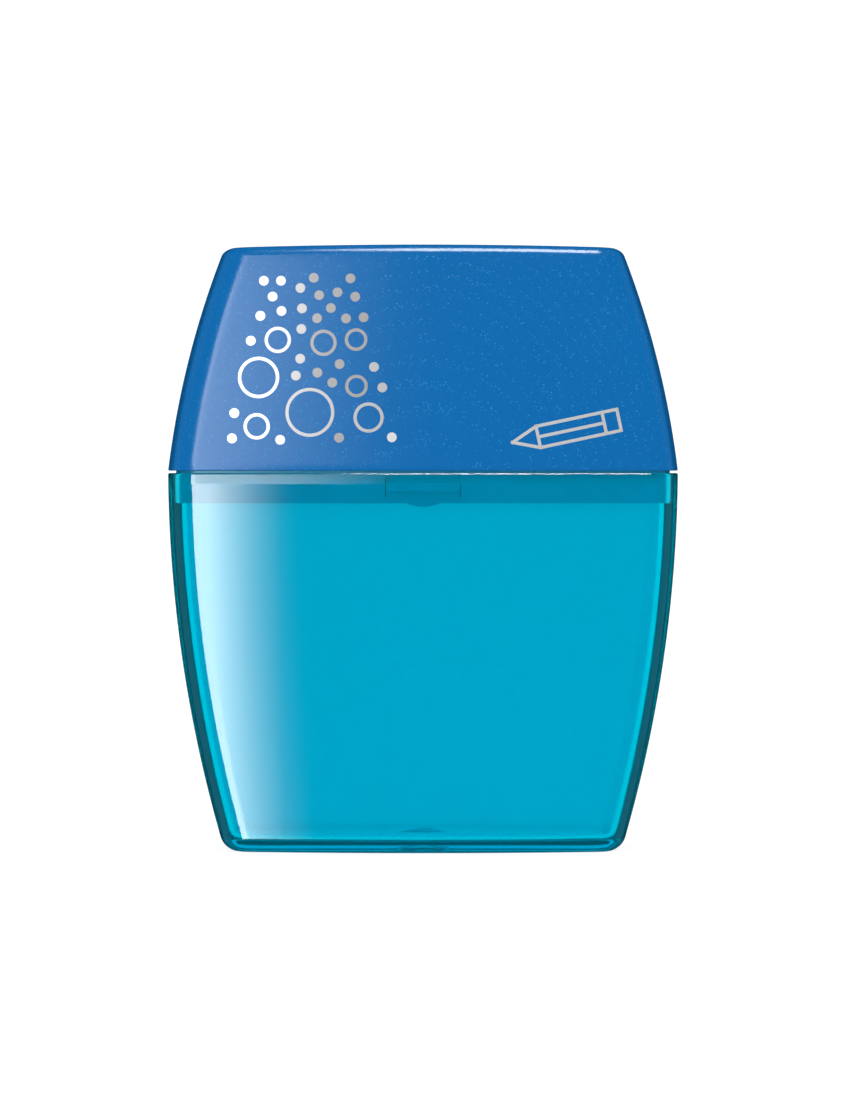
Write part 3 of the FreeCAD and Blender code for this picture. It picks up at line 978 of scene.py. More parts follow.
# ---- Reservoir -------------------------------------------------------------------------------
@dataclass
class Reservoir:
    """Clear canister: thin wall, stepped rim with latch grooves, gate recess under the floor."""

    layout: Layout
    wall: float = 1.5
    floor: float = 1.5
    floor_round: float = 1.2
    base_round: float = 1.8
    rim_wall: float = 0.75
    rim_round: float = 0.2
    gate_radius: float = 2.6
    gate_depth: float = 0.6
    groove_half: float = 4.65
    groove_inset: float = 0.40
    groove_low: float = 2.1875       # below the rim
    groove_high: float = 0.6875
    pocket_radius: float = 4.0625
    pocket_drop: float = 0.65
    wall_rows: int = 34
    columns: Array = field(init=False)

    def __post_init__(self) -> None:
        """Lay out the columns."""
        places = [13.0, 11.0, 9.0, 7.4, 6.0, 3.6, 2.9, 2.2, 1.9, 1.6, 1.3, 1.0, 0.7, 0.35]
        self.columns = quarter_columns(22, 16, 12, places, [self.groove_half])

    def step_height(self) -> Array:
        """Height of the ledge in each column, with a shallow pocket in the middle.

        The pocket is the lower part of a circle that stands on its lowest point.

        Returns:
            One height for each column.
        """
        layout = self.layout
        x = place_of(self.columns)
        centre = layout.ledge - self.pocket_drop + self.pocket_radius
        inside = np.maximum(self.pocket_radius**2 - x**2, 0.0)
        pocket = np.where(inside > 0, centre - np.sqrt(inside), layout.ledge)
        return np.minimum(layout.ledge, pocket)

    def gate(self, outline: Tuple[Array, Array], level: float) -> List[Rows]:
        """Floor from the gate's rim out to the wall, and the gate's domed cap.

        The cap is part of a ball: its height falls with the root of radius squared less distance
        squared. Between the gate's circle and the outline the points lie on straight lines.

        Args:
            outline: x and y where the floor meets its rounding.
            level: height of the floor.

        Returns:
            Rows from the middle outwards.
        """
        edge_x, edge_y = outline
        bearing = np.arctan2(edge_y, edge_x)
        ball = (self.gate_radius**2 + self.gate_depth**2) / (2 * self.gate_depth)
        out = self.gate_radius * np.sin(np.linspace(0.0, math.pi / 2, 9))[:, None]
        cap = (
            out * np.cos(bearing),
            out * np.sin(bearing),
            level + self.gate_depth - ball + np.sqrt(ball**2 - out**2) + 0 * bearing,
        )
        share = np.linspace(0.0, 1.0, 11)[:, None] ** 1.3
        circle_x, circle_y = cap[0][-1], cap[1][-1]
        flat = (
            circle_x + (edge_x - circle_x) * share,
            circle_y + (edge_y - circle_y) * share,
            level + 0 * share * bearing,
        )
        return [cap, flat]

    def rows(self) -> Array:
        """One profile from the middle of the floor over the rim to the middle of the underside.

        Returns:
            Rows by columns by 3.
        """
        layout = self.layout
        form = layout.reservoir_form()
        u = self.columns
        step = self.step_height()
        inner = rounding(form, u, self.wall, self.floor_round, self.floor, False, 8)
        outer = rounding(form, u, 0.0, self.base_round, 0.0, False, 12)
        lip = rounding(form, u, 0.0, self.rim_round, layout.rim, True, 4)
        low, high = layout.rim - self.groove_low, layout.rim - self.groove_high
        grooved = np.where(place_of(u) < self.groove_half, self.groove_inset, self.rim_wall)
        parts = self.gate((inner[0][0], inner[1][0]), self.floor)
        parts += [
            inner,
            upright(form, u, self.wall, inner[2][-1], step, self.wall_rows),
            upright(form, u, self.rim_wall, step, low, 3),
            upright(form, u, grooved, low, high, 2),
            upright(form, u, self.rim_wall, high, layout.rim, 1),
            lip,
            upright(form, u, 0.0, lip[2][-1], outer[2][-1], self.wall_rows),
            backwards(outer),
        ]
        underside = self.gate((outer[0][0], outer[1][0]), 0.0)
        parts += [backwards(part) for part in reversed(underside)]
        return np.concatenate([around(*part) for part in parts], axis=0)

    def build(self) -> bpy.types.Object:
        """Make the piece.

        Returns:
            Its object.
        """
        shells = Shells()
        shells.grid(self.rows())
        made = shells.piece("reservoir_canister", ClearPlastic().material())
        settle(made, "reservoir", "clear_cyan", "reservoir")
        return made


# ---- Lid -------------------------------------------------------------------------------------
@dataclass
class LidShell:
    """Opaque lid: crowned top with two holes, ribs and hooks inside, pockets for the lugs."""

    layout: Layout
    wall: float = 1.5
    top_wall: float = 1.6
    top_round: float = 1.2
    edge_round: float = 0.15
    hole_round: float = 0.35
    holes: Tuple[Tuple[float, float], ...] = ((-6.9, 5.3), (7.4, 6.95))  # x and radius
    split: float = 0.6               # the top's surface divides this far left of the middle
    lug_x: float = 12.0
    lug_half: float = 2.1
    lug_inset: float = 1.13
    lug_low: float = 2.7
    lug_high: float = 3.9
    rib_x: float = 13.8
    rib_thickness: float = 1.0
    rib_inner: float = 8.0
    rib_gap: float = 0.3
    hook_inner: float = 17.92
    hook_thickness: float = 1.5
    hook_nib: float = 0.9
    hook_nib_height: float = 1.2
    hook_width: float = 7.0
    flange: float = 1.8
    wall_rows: int = 30
    columns: Array = field(init=False)

    def __post_init__(self) -> None:
        """Lay out the columns."""
        places = [13.2, 12.0, 10.8, 8.4, 7.0, 5.6, 4.2, 3.0, 1.8, self.split]
        steps = [self.lug_x - self.lug_half, self.lug_x + self.lug_half]
        self.columns = quarter_columns(24, 16, 14, places, steps)

    def top_levels(self) -> Array:
        """Height of the crowned top above each column, from the outline just inside the edge.

        Returns:
            One height for each column.
        """
        layout = self.layout
        x, _ = layout.lid_form().plan(self.columns, layout.crest - self.top_round, self.top_round)
        return layout.top(x)

    def skin(self) -> Array:
        """Profile from the ceiling's outline down the inside, round the edge and up to the top.

        Returns:
            Rows by columns by 3.
        """
        layout = self.layout
        form = layout.lid_form()
        u = self.columns
        beside_lug = abs(place_of(u) - self.lug_x) < self.lug_half
        pocketed = np.where(beside_lug, self.lug_inset, self.wall)
        ceiling = layout.crest - self.top_wall
        high, low = layout.lid_edge + self.lug_high, layout.lid_edge + self.lug_low
        edge = rounding(form, u, 0.0, self.edge_round, layout.lid_edge, False, 4)
        shoulder = rounding(form, u, 0.0, self.top_round, self.top_levels(), True, 10)
        parts = [
            upright(form, u, self.wall, ceiling, high, self.wall_rows),
            upright(form, u, pocketed, high, low, 1),
            upright(form, u, self.wall, low, layout.lid_edge, 4),
            edge,
            upright(form, u, 0.0, edge[2][-1], shoulder[2][-1], self.wall_rows),
            backwards(shoulder),
        ]
        return np.concatenate([around(*part) for part in parts], axis=0)

    def cell(self, inner: Array, outer: Array, hole: Tuple[float, float]) -> Array:
        """Ceiling, hole wall, rounded mouth and top around one hole.

        Rows run from the ceiling's outline to the hole, up it, round its mouth by a quarter
        circle, and out over the crowned top to the outline above; columns are rays.

        Args:
            inner: outline of the ceiling, columns by 3.
            outer: outline of the top, columns by 3.
            hole: its place along X and its radius.

        Returns:
            Rows by columns by 3.
        """
        place, radius = hole
        bearing = np.arctan2(outer[:, 1], outer[:, 0] - place)[None, :]
        ceiling = self.layout.crest - self.top_wall

        def ring(size: Array) -> Tuple[Array, Array]:
            """x and y on a circle of this size about the hole, on every ray."""
            return place + size * np.cos(bearing), size * np.sin(bearing)

        share = np.linspace(0.0, 1.0, 7)[:, None]
        near_x, near_y = ring(radius)
        under = np.stack(
            [
                inner[None, :, 0] + (near_x - inner[None, :, 0]) * share,
                inner[None, :, 1] + (near_y - inner[None, :, 1]) * share,
                np.full((7, len(outer)), ceiling),
            ],
            axis=-1,
        )
        turn = np.linspace(math.pi, math.pi / 2, 7)[:, None]
        mouth_x, mouth_y = ring(radius + self.hole_round * (1 + np.cos(turn)))
        rise = self.layout.top(mouth_x) - self.hole_round * (1 - np.sin(turn))
        mouth = np.stack([mouth_x, mouth_y, rise], axis=-1)
        far_x, far_y = mouth_x[-1], mouth_y[-1]
        share = np.linspace(0.0, 1.0, 9)[:, None]
        over_x = far_x + (outer[None, :, 0] - far_x) * share
        over_y = far_y + (outer[None, :, 1] - far_y) * share
        over = np.stack([over_x, over_y, self.layout.top(over_x)], axis=-1)
        return np.concatenate([under, mouth, over], axis=0)

    def cells(self, skin: Array) -> List[Array]:
        """Split the lid's two outlines between the holes, with a straight line of points.

        Args:
            skin: the lid's profile; its first row is the ceiling's outline and its last the top's.

        Returns:
            The surface around each hole.
        """
        inner, outer = skin[0], skin[-1]
        count = len(outer)
        crossing = np.flatnonzero(abs(outer[:, 0] + self.split) < SLIVER)
        back, front = crossing[0], crossing[-1]
        left = np.arange(back, front + 1)
        right = np.concatenate([np.arange(front, count), np.arange(0, back + 1)])
        share = np.linspace(0.0, 1.0, 17)[1:-1, None]
        made = []
        for picked, hole in ((left, self.holes[0]), (right, self.holes[1])):
            lines = []
            for outline in (inner, outer):
                start, end = outline[picked[-1]], outline[picked[0]]
                line = start + (end - start) * share
                lines.append(np.concatenate([outline[picked], line]))
            made.append(self.cell(lines[0], lines[1], hole))
        return made

    def ribs(self) -> List[Array]:
        """Upright ribs: a rectangle in plan whose outer side follows the wall, carried upwards.

        Returns:
            The sections of each rib.
        """
        layout = self.layout
        form = layout.lid_form()
        z = np.linspace(layout.ring_top + self.rib_gap, layout.crest - self.top_wall / 2, 14)
        sides = self.rib_x + np.array([-0.5, 0.5]) * self.rib_thickness
        outer = [form.plan(column_of(side), z, self.wall / 2)[1] for side in sides]
        inner = np.full_like(z, self.rib_inner)
        corners = [(0, inner), (1, inner), (1, outer[1]), (0, outer[0])]
        section = np.stack(
            [np.stack([np.full_like(z, sides[side]), y, z], axis=-1) for side, y in corners],
            axis=1,
        )
        return [section * (i, j, 1) for i in (-1, 1) for j in (-1, 1)]

    def hooks(self) -> List[Array]:
        """Hooks at both ends of the insert: a hooked outline in the XZ plane, carried along Y.

        Returns:
            The sections of each hook.
        """
        inner, outer = self.hook_inner, self.hook_inner + self.hook_thickness
        nib = inner - self.hook_nib
        top = self.layout.crest - self.top_wall
        under = top - self.flange
        low = under - self.hook_nib_height
        half = self.hook_nib / 2
        outline = np.array(
            [
                (inner, top + self.top_wall / 2),
                (outer, top + self.top_wall / 2),
                (outer, low - half),
                (inner, low - half),
                (nib, low + half),
                (nib, under),
                (inner, under),
            ]
        )
        y = np.array([-0.5, 0.5])[:, None] * self.hook_width
        x, y, z = np.broadcast_arrays(outline[None, :, 0], y, outline[None, :, 1])
        hook = np.stack([x, y, z], axis=-1)
        return [hook, hook * (-1, 1, 1)]

    def build(self) -> bpy.types.Object:
        """Make the piece.

        Returns:
            Its object.
        """
        shells = Shells()
        skin = self.skin()
        shells.grid(skin)
        for cell in self.cells(skin):
            shells.grid(cell)
        for part in self.ribs() + self.hooks():
            shells.tube(part)
        made = shells.piece("lid_casing", GlitterSatin().material())
        settle(made, "lid", "satin_blue", "lid_shell")
        return made


# ---- Inner frame -----------------------------------------------------------------------------
@dataclass
class InnerFrame:
    """Ring inside the lid whose skirt plugs into the rim, with two snap tongues.

    The sizes named inset, inner and outer are insets from the outer forms.
    """

    layout: Layout
    skirt_inner: float = 1.87
    ring_outer: float = 1.58
    ring_inner: float = 2.58
    band: float = 0.9
    lug_x: float = 12.0
    lug_half: float = 2.0
    lug_inset: float = 1.23
    lug_low: float = 2.8
    lug_high: float = 3.8
    gap_half: float = 4.02
    gap_top: float = 0.2             # the gaps end this far below the rim
    tongue_half: float = 3.92
    tongue_outer: float = 1.17
    bead_inset: float = 0.87
    bead_drop: float = 1.55
    bead_half: float = 0.525
    bead_round: float = 0.27
    tip_half: float = 1.7
    tip_drop: float = 0.4
    columns: Array = field(init=False)

    def __post_init__(self) -> None:
        """Lay out the columns."""
        steps = [self.lug_x - self.lug_half, self.lug_x + self.lug_half, self.gap_half]
        places = [13.0, 12.0, 11.0, 8.6, 7.2, 5.6, 2.6, 1.3]
        self.columns = quarter_columns(20, 12, 10, places, steps)

    def ring(self) -> Array:
        """Section of skirt, band and collar carried round; at the tongues it has no skirt.

        Returns:
            Rows by columns by 3.
        """
        layout = self.layout
        u = self.columns
        x_of = place_of(u)
        free = x_of < self.gap_half
        lug = abs(x_of - self.lug_x) < self.lug_half
        lower, upper = layout.reservoir_form(), layout.lid_form()
        edge, rim = layout.lid_edge, layout.rim - self.gap_top
        skirt, collar = layout.skirt_outer, self.ring_outer
        proud = np.where(lug, self.lug_inset, collar)
        lug_low, lug_high = edge + self.lug_low, edge + self.lug_high
        under = edge - self.band
        corners = [
            (lower, skirt, np.where(free, rim, layout.ledge)),
            (lower, skirt, rim),
            (lower, skirt, edge),
            (upper, collar, edge),
            (upper, collar, lug_low),
            (upper, proud, lug_low),
            (upper, proud, lug_high),
            (upper, collar, lug_high),
            (upper, collar, layout.ring_top),
            (upper, self.ring_inner, layout.ring_top),
            (upper, self.ring_inner, under),
            (lower, self.skirt_inner, np.where(free, rim, under)),
            (lower, np.where(free, skirt, self.skirt_inner), np.where(free, rim, layout.ledge)),
        ]
        rows = []
        for form, inset, z in corners:
            z = np.broadcast_to(np.asarray(z, float), u.shape)
            x, y = form.plan(u, z, np.broadcast_to(inset, u.shape))
            rows.append(around(x[None], y[None], z[None]))
        return np.concatenate(rows, axis=0)

    def tongue(self) -> Array:
        """Snap tongue: its upright section, with a rounded bead, carried across its width.

        The lower end dips in the middle by a flat arc, which makes the rounded tip.

        Returns:
            The section at each place across the tongue.
        """
        layout = self.layout
        form = layout.reservoir_form()
        middle = layout.rim - self.bead_drop
        turn = np.linspace(0.0, math.pi / 2, 4)
        bulge = self.bead_round * (1 - np.sin(turn))
        slope = self.bead_round * (1 - np.cos(turn))
        low_z = middle - self.bead_half + slope
        high_z = middle + self.bead_half - slope[::-1]
        back, ledge, rim = self.tongue_outer, layout.ledge, layout.rim
        outline = [(back, ledge), (back, middle - self.bead_half)]
        outline += list(zip(self.bead_inset + bulge, low_z))
        outline += list(zip(self.bead_inset + bulge[::-1], high_z))
        outline += [(back, middle + self.bead_half), (back, rim)]
        outline += [(self.skirt_inner, rim), (self.skirt_inner, ledge)]
        section = np.array(outline)
        x = np.linspace(-self.tongue_half, self.tongue_half, 41)[:, None]
        ball = (self.tip_half**2 + self.tip_drop**2) / (2 * self.tip_drop)
        inside = np.maximum(ball**2 - x**2, 0.0)
        dip = np.maximum(self.tip_drop - ball + np.sqrt(inside), 0.0)
        z = section[None, :, 1] - np.where(section[None, :, 1] <= layout.ledge, dip, 0.0)
        _, y = form.plan(column_of(abs(x)), z, np.broadcast_to(section[None, :, 0], z.shape))
        return np.stack([np.broadcast_to(x, z.shape), y, z], axis=-1)

    def build(self) -> bpy.types.Object:
        """Make the piece.

        Returns:
            Its object.
        """
        shells = Shells()
        shells.grid(self.ring(), ring=True)
        tongue = self.tongue()
        for side in (-1, 1):
            shells.tube(tongue * (1, side, 1))
        finish = MouldedPlastic("frame_plastic", (0.004, 0.41, 0.585), 0.30)
        made = shells.piece("lid_inner_frame", finish.material())
        settle(made, "lid", "frame_plastic", "inner_frame")
        return made


# ---- Foil print ------------------------------------------------------------------------------
class PaintedSheen(Enum):
    """Painted sheen: how brightly one foil mark is painted, standing in for the light it catches.
    """

    WHITE = 0.86
    BRIGHT = 0.69
    MID = 0.48
    DULL = 0.34


@dataclass
class FoilPrint:
    """Silver print on the lid's front: loose bubbles and dots on the left, and a small pencil.

    Places are x and the height above the lid's lower edge. The bubbles and dots are spread by
    chance with a fixed seed, so that none touches another.
    """

    layout: Layout
    proud: float = 0.012
    buried: float = 0.03
    seed: int = 11
    field_left: float = -22.0
    field_lean: float = 0.2          # the field's sides lean in by this share of the height
    field_right: float = -2.0
    field_low: float = 2.6
    field_top: float = 21.2
    bubble_top: float = 15.5
    bubble_radii: Tuple[float, ...] = (2.6, 2.2, 1.6, 1.4, 1.4, 1.4, 1.2, 1.2)
    dot_radius: float = 0.52
    dot_count: int = 36
    clear: float = 0.75              # least gap between two marks
    tries: int = 400                 # a mark with no free place after these is left out
    painted_sheen_middle: float = -9.0       # x where the painted sheen is dullest
    painted_sheen_half: float = 11.0
    pencil_from: Tuple[float, float] = (9.5, 3.0)
    pencil_length: float = 11.6
    pencil_half: float = 1.15
    pencil_rise: float = 12.0        # degrees
    cone_share: float = 0.24         # of the pencil's length
    ferrule_share: float = 0.86
    line: float = 0.34

    def painted_sheen_at(self, x: float) -> PaintedSheen:
        """Painted sheen of a mark: painted dull in the middle of the field and brighter towards its
        sides.

        Args:
            x: the mark's middle.

        Returns:
            Its painted sheen.
        """
        tones = [PaintedSheen.DULL, PaintedSheen.MID, PaintedSheen.BRIGHT, PaintedSheen.WHITE]
        share = abs(x - self.painted_sheen_middle) / self.painted_sheen_half
        return tones[min(int(share * len(tones)), len(tones) - 1)]

    def scatter(self) -> List[Tuple[float, float, float]]:
        """Spread the bubbles, large ones first, and then the dots, each clear of all before it.

        Returns:
            x, height and radius of each mark.
        """
        chance = np.random.default_rng(self.seed)
        marks: List[Tuple[float, float, float]] = []
        for radius in self.bubble_radii + (self.dot_radius,) * self.dot_count:
            top = self.field_top if radius == self.dot_radius else self.bubble_top
            for _ in range(self.tries):
                height = chance.uniform(self.field_low + radius, top - radius)
                lean = self.field_lean * height + radius
                x = chance.uniform(self.field_left + lean, self.field_right - lean)
                gaps = [math.hypot(x - a, height - b) - radius - c for a, b, c in marks]
                if not gaps or min(gaps) > self.clear:
                    marks.append((x, height, radius))
                    break
        return marks

    def drape(self, x: Array, height: Array, inset: Array) -> Array:
        """Lay points on the lid's front wall.

        Args:
            x: places across the front.
            height: heights above the lid's lower edge.
            inset: above 0 for points buried in the wall, else they stand proud of it.

        Returns:
            Points, with x, y and z last.
        """
        x, height, inset = np.broadcast_arrays(x, height, inset)
        form = self.layout.lid_form()
        z = self.layout.lid_edge + height
        proud = form.front(x, z, -self.proud)
        buried = form.front(x, z, self.buried)
        return np.where(inset[..., None] > 0, buried, proud)

    def dot(self, shells: Shells, x: float, height: float, painted_sheen: PaintedSheen) -> None:
        """Round button: rings of points about its middle, closed above and below.

        Args:
            shells: where it is added.
            x: its middle.
            height: its middle above the lid's lower edge.
            painted_sheen: its painted sheen.
        """
        turn = np.linspace(0.0, 2 * math.pi, 28, endpoint=False)[None, :]
        size = np.array([0.0, 1.0, 1.0, 0.6, 0.0])[:, None] * self.dot_radius
        depth = np.array([1.0, 1.0, -1.0, -1.0, -1.0])[:, None]
        grid = self.drape(x + size * np.cos(turn), height + size * np.sin(turn), depth + 0 * turn)
        shells.grid(grid, mark=painted_sheen.value)

    def bubble(
        self, shells: Shells, x: float, height: float, radius: float, painted_sheen: PaintedSheen
    ) -> None:
        """Ring: a thin four-sided section carried round its middle.

        Args:
            shells: where it is added.
            x: its middle.
            height: its middle above the lid's lower edge.
            radius: its outer radius.
            painted_sheen: its painted sheen.
        """
        turn = np.linspace(0.0, 2 * math.pi, 72, endpoint=False)[None, :]
        inner = radius - self.line
        size = np.array([inner, inner, radius, radius])[:, None]
        depth = np.array([1.0, -1.0, -1.0, 1.0])[:, None]
        grid = self.drape(x + size * np.cos(turn), height + size * np.sin(turn), depth + 0 * turn)
        shells.grid(grid, ring=True, mark=painted_sheen.value)

    def stroke(self, shells: Shells, points: Sequence[Tuple[float, float]], painted_sheen: PaintedSheen) -> None:
        """Straight pen stroke between two points, a thin closed strip with square ends.

        Args:
            shells: where it is added.
            points: its two ends, each x and height.
            painted_sheen: its painted sheen.
        """
        (x0, h0), (x1, h1) = points
        length = math.hypot(x1 - x0, h1 - h0)
        aside = np.array([-(h1 - h0), x1 - x0]) / length * self.line / 2
        ahead = np.array([x1 - x0, h1 - h0]) / length * self.line / 2
        share = np.linspace(0.0, 1.0, max(2, int(length) + 2))[:, None]
        x = x0 - ahead[0] + (x1 - x0 + 2 * ahead[0]) * share
        height = h0 - ahead[1] + (h1 - h0 + 2 * ahead[1]) * share
        side = np.array([-1.0, 1.0, 1.0, -1.0])[None, :]
        depth = np.array([-1.0, -1.0, 1.0, 1.0])[None, :] + 0 * x
        strip = self.drape(x + side * aside[0], height + side * aside[1], depth)
        shells.tube(strip, mark=painted_sheen.value)

    def pencil(self, shells: Shells) -> None:
        """Outline of a pencil: two long sides, a ferrule and end, and a pointed tip.

        Args:
            shells: where it is added.
        """
        length, half = self.pencil_length, self.pencil_half
        cone, ferrule = length * self.cone_share, length * self.ferrule_share
        strokes = [
            ((cone, half), (length, half)),
            ((cone, -half), (length, -half)),
            ((length, -half), (length, half)),
            ((ferrule, -half), (ferrule, half)),
            ((cone, -half), (cone, half)),
            ((cone, half), (0.0, 0.0)),
            ((cone, -half), (0.0, 0.0)),
            ((cone, 0.0), (ferrule, 0.0)),
        ]
        turn = math.radians(self.pencil_rise)
        for stroke in strokes:
            placed = [
                (
                    self.pencil_from[0] + along * math.cos(turn) - up * math.sin(turn),
                    self.pencil_from[1] + along * math.sin(turn) + up * math.cos(turn),
                )
                for along, up in stroke
            ]
            self.stroke(shells, placed, PaintedSheen.BRIGHT)

    def build(self) -> bpy.types.Object:
        """Make the piece.

        Returns:
            Its object.
        """
        shells = Shells()
        for x, height, radius in self.scatter():
            # painted sheen: a mark's brightness is set by its place across the field
            painted_sheen = self.painted_sheen_at(x)
            if radius == self.dot_radius:
                self.dot(shells, x, height, painted_sheen)
            else:
                self.bubble(shells, x, height, radius, painted_sheen)
        self.pencil(shells)
        made = shells.piece("lid_foil_print", StampedFoil().material(), mark="painted_sheen")
        settle(made, "lid", "foil")
        return made


# ---- Sharpening insert, blades and screws ----------------------------------------------------
@dataclass
class CutterPiece:
    """A piece that keeps the frame's shape: merged, its edges softened and its faces smoothed.

    Attributes:
        node: node of the frame.
        name: the piece's name.
        slot: name of its finish slot.
        finish: its finish.
        bevel: width of the softened edges, in millimetres.
    """

    node: str
    name: str
    slot: str
    finish: Any                      # MouldedPlastic or GroundSteel
    bevel: float = 0.06

    def build(self) -> bpy.types.Object:
        """Make the piece.

        Returns:
            Its object.
        """
        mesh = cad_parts[self.node].data.copy()
        mesh.name = self.name
        made = finished(self.name, mesh, self.finish.material(), CAD_MERGE)
        soften = made.modifiers.new("soft_edges", "BEVEL")
        soften.width = self.bevel * MM
        soften.segments = 2
        soften.limit_method = "ANGLE"
        soften.angle_limit = BEVEL_ANGLE
        soften.harden_normals = False
        settle(made, "lid", self.slot, self.node)
        return made


def cutter_pieces() -> List[CutterPiece]:
    """The insert with its two blades and their screws.

    Returns:
        The pieces, not built yet.
    """
    insert = MouldedPlastic("insert_plastic", (0.012, 0.012, 0.014), 0.40, 0.3)
    steel = GroundSteel("blade_steel", (0.62, 0.63, 0.64), (1.0, 1.0, 0.06))
    zinc = GroundSteel("screw_steel", (0.66, 0.64, 0.60), (1.0, 1.0, 1.0), 0.34)
    return [
        CutterPiece("sharpener_insert", "guide_insert", "insert_plastic", insert, 0.08),
        CutterPiece("standard_blade", "small_hole_blade", "blade_steel", steel, 0.02),
        CutterPiece("jumbo_blade", "large_hole_blade", "blade_steel", steel, 0.02),
        CutterPiece("standard_blade_screw", "small_blade_screw", "screw_steel", zinc, 0.05),
        CutterPiece("jumbo_blade_screw", "large_blade_screw", "screw_steel", zinc, 0.05),
    ]


# ---- Studio ----------------------------------------------------------------------------------
@dataclass(frozen=True)
class Softbox:
    """One soft light.

    Attributes:
        name: its name.
        azimuth: degrees to the right of the front, seen from the object.
        elevation: degrees above the level.
        distance: metres from the object's middle.
        size: width and height in metres.
        power: watts.
        fade: share of the width over which it fades in from its right edge, seen from the object.
        rise: power of that fade.
    """

    name: str
    azimuth: float
    elevation: float
    distance: float
    size: Tuple[float, float]
    power: float
    fade: float = 0.0
    rise: float = 1.0


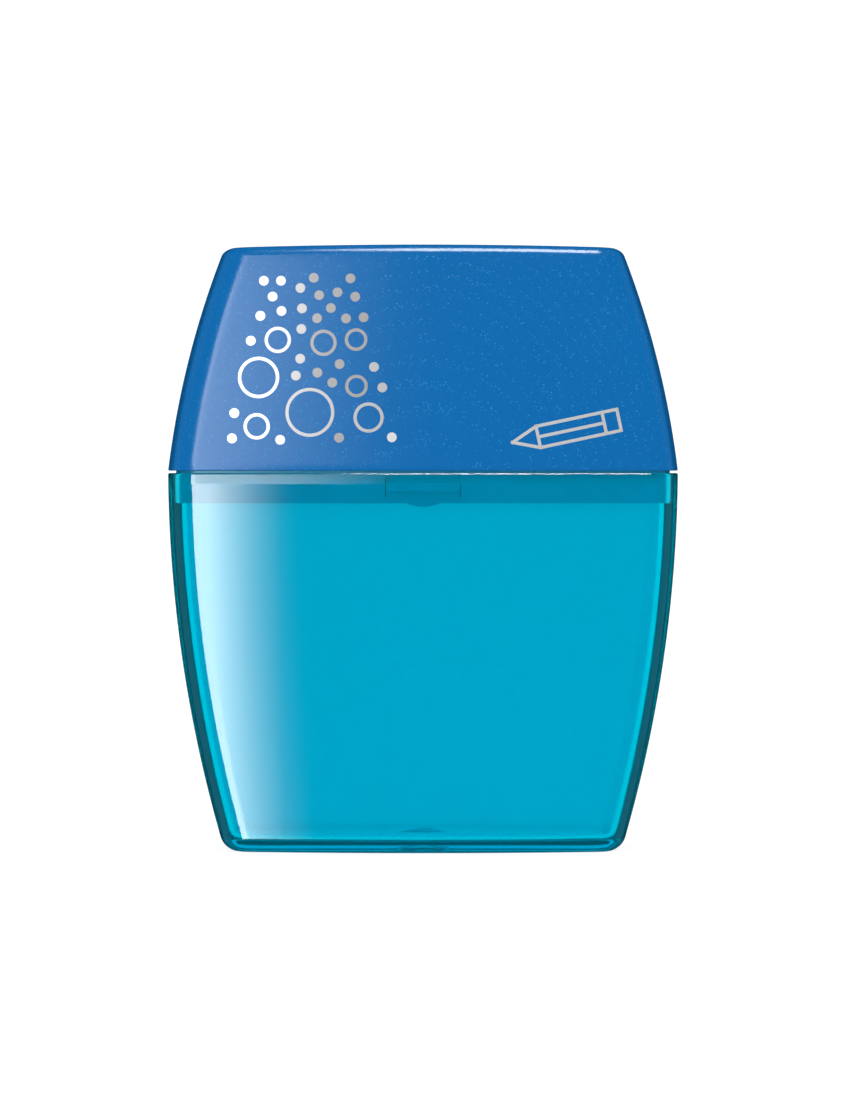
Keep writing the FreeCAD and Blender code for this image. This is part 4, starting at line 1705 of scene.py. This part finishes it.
@dataclass
class Studio:
    """White seamless surroundings, soft lights and the camera; lengths here are in metres.

    Attributes:
        layout: the object's sizes.
        surround: strength of the white world.
        floor_albedo: share of light that the floor scatters.
        floor_glow: light that it gives off, so that it stays white.
        camera_distance: distance in front of the object's middle.
        camera_height: height above the floor.
        aim_height: height that the camera looks at.
        lens: focal length in millimetres.
        sensor: width of the camera's sensor, in millimetres.
        clip_start: distance from which the camera sees.
        floor_radius: radius of the round floor.
        boxes: the soft lights.
    """

    layout: Layout
    surround: float = 1.12
    floor_albedo: float = 0.25
    floor_glow: float = 0.84
    camera_distance: float = 0.57
    camera_height: float = 0.0408
    aim_height: float = 0.0323
    lens: float = 172.0
    sensor: float = 36.0
    clip_start: float = 0.02
    floor_radius: float = 6.0
    boxes: Tuple[Softbox, ...] = (
        Softbox("low_key", -31.0, -13.5, 0.9, (0.465, 0.46), 8.0, 0.46, 2.2),
        Softbox("high_key", -26.0, 14.5, 0.9, (0.74, 0.44), 12.2, 0.78, 1.5),
        Softbox("top", 22.0, 64.0, 0.8, (0.5, 0.40), 20.0),
        Softbox("left_rim", -118.0, 0.0, 0.9, (0.7, 0.86), 0.15),
        Softbox("right_rim", 118.0, 0.0, 0.9, (0.7, 0.86), 0.15),
    )

    def middle(self) -> Array:
        """Middle of the closed object."""
        return np.array([0.0, 0.0, self.layout.crest * MM / 2])

    def aim(self, thing: bpy.types.Object, place: Array, target: Array) -> None:
        """Put a light or the camera at a place and turn its -Z axis to a target.

        Args:
            thing: the light or camera.
            place: where it stands, in metres.
            target: the point it looks at.
        """
        away = target - place
        level = math.hypot(away[0], away[1])
        thing.location = tuple(place)
        thing.rotation_euler = (
            math.pi / 2 + math.atan2(away[2], level),
            0.0,
            math.atan2(away[1], away[0]) - math.pi / 2,
        )

    def lights(self) -> None:
        """Make the soft lights."""
        for box in self.boxes:
            lamp = bpy.data.lights.new(box.name, "AREA")
            lamp.shape = "RECTANGLE"
            lamp.size, lamp.size_y = box.size
            lamp.energy = box.power
            if box.fade:
                self.fade(lamp, box)
            made = bpy.data.objects.new(box.name, lamp)
            bpy.context.scene.collection.objects.link(made)
            azimuth, elevation = math.radians(box.azimuth), math.radians(box.elevation)
            reach = np.array(
                [
                    math.sin(azimuth) * math.cos(elevation),
                    -math.cos(azimuth) * math.cos(elevation),
                    math.sin(elevation),
                ]
            )
            self.aim(made, self.middle() + box.distance * reach, self.middle())
            made.visible_camera = False
            made.visible_diffuse = False
            made.visible_transmission = False

    def fade(self, lamp: bpy.types.Light, box: Softbox) -> None:
        """Let a soft light fade in across its width, as a rising power of the place on it.

        Args:
            lamp: the light.
            box: its settings.
        """
        lamp.use_nodes = True
        nodes = Nodes(lamp.node_tree)
        place = nodes.node("ShaderNodeNewGeometry", result="Parametric")
        across = nodes.node("ShaderNodeSeparateXYZ", None, place, result="X")
        limits = {"From_Min": 1.0, "From_Max": 1.0 - box.fade}
        share = nodes.node("ShaderNodeMapRange", None, across, **limits)
        nodes.feed(lamp.node_tree.nodes["Emission"].inputs["Strength"], share**box.rise)

    def surroundings(self) -> None:
        """White world that lights softly but isn't mirrored, and a white floor."""
        world = bpy.data.worlds.new("white_surround")
        world.use_nodes = True
        background = world.node_tree.nodes["Background"]
        background.inputs["Color"].default_value = (1.0, 1.0, 1.0, 1.0)
        background.inputs["Strength"].default_value = self.surround
        world.cycles_visibility.glossy = False
        bpy.context.scene.world = world
        shader = Shader("studio_floor")
        shader.set(
            Base_Color=(self.floor_albedo,) * 3,
            Roughness=0.9,
            Specular_IOR_Level=0.0,
            Emission_Color=(1.0, 1.0, 1.0),
            Emission_Strength=self.floor_glow,
        )
        radius = self.floor_radius
        turn = np.linspace(0.0, 2 * math.pi, 64, endpoint=False)
        mesh = bpy.data.meshes.new("studio_floor")
        points = np.stack([radius * np.cos(turn), radius * np.sin(turn), 0 * turn], axis=-1)
        mesh.from_pydata(points.tolist(), [], [list(range(len(turn)))])
        mesh.materials.append(shader.material)
        floor = bpy.data.objects.new("studio_floor", mesh)
        bpy.context.scene.collection.objects.link(floor)
        floor.visible_glossy = False

    def camera(self) -> None:
        """Make the camera, level with the joint and tipped slightly down."""
        lens = bpy.data.cameras.new("camera")
        lens.lens = self.lens
        lens.sensor_width = self.sensor
        lens.clip_start = self.clip_start
        made = bpy.data.objects.new("camera", lens)
        bpy.context.scene.collection.objects.link(made)
        place = np.array([0.0, -self.camera_distance, self.camera_height])
        self.aim(made, place, np.array([0.0, 0.0, self.aim_height]))
        bpy.context.scene.camera = made

    def build(self) -> None:
        """Set up everything around the object."""
        scene = bpy.context.scene
        scene.view_settings.view_transform = "Standard"
        scene.view_settings.look = "None"
        self.surroundings()
        self.lights()
        self.camera()


def main() -> None:
    """Build every piece around the frame and set up the studio."""
    logging.basicConfig(level=logging.INFO, format="%(name)s %(message)s")
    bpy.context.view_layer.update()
    layout = Layout.from_frame()
    LOG.info("joint at %.2f mm, crest at %.2f mm", layout.rim, layout.crest)
    Reservoir(layout).build()
    LidShell(layout).build()
    InnerFrame(layout).build()
    FoilPrint(layout).build()
    for piece in cutter_pieces():
        piece.build()
    Studio(layout).build()


if __name__ == "__main__":
    main()
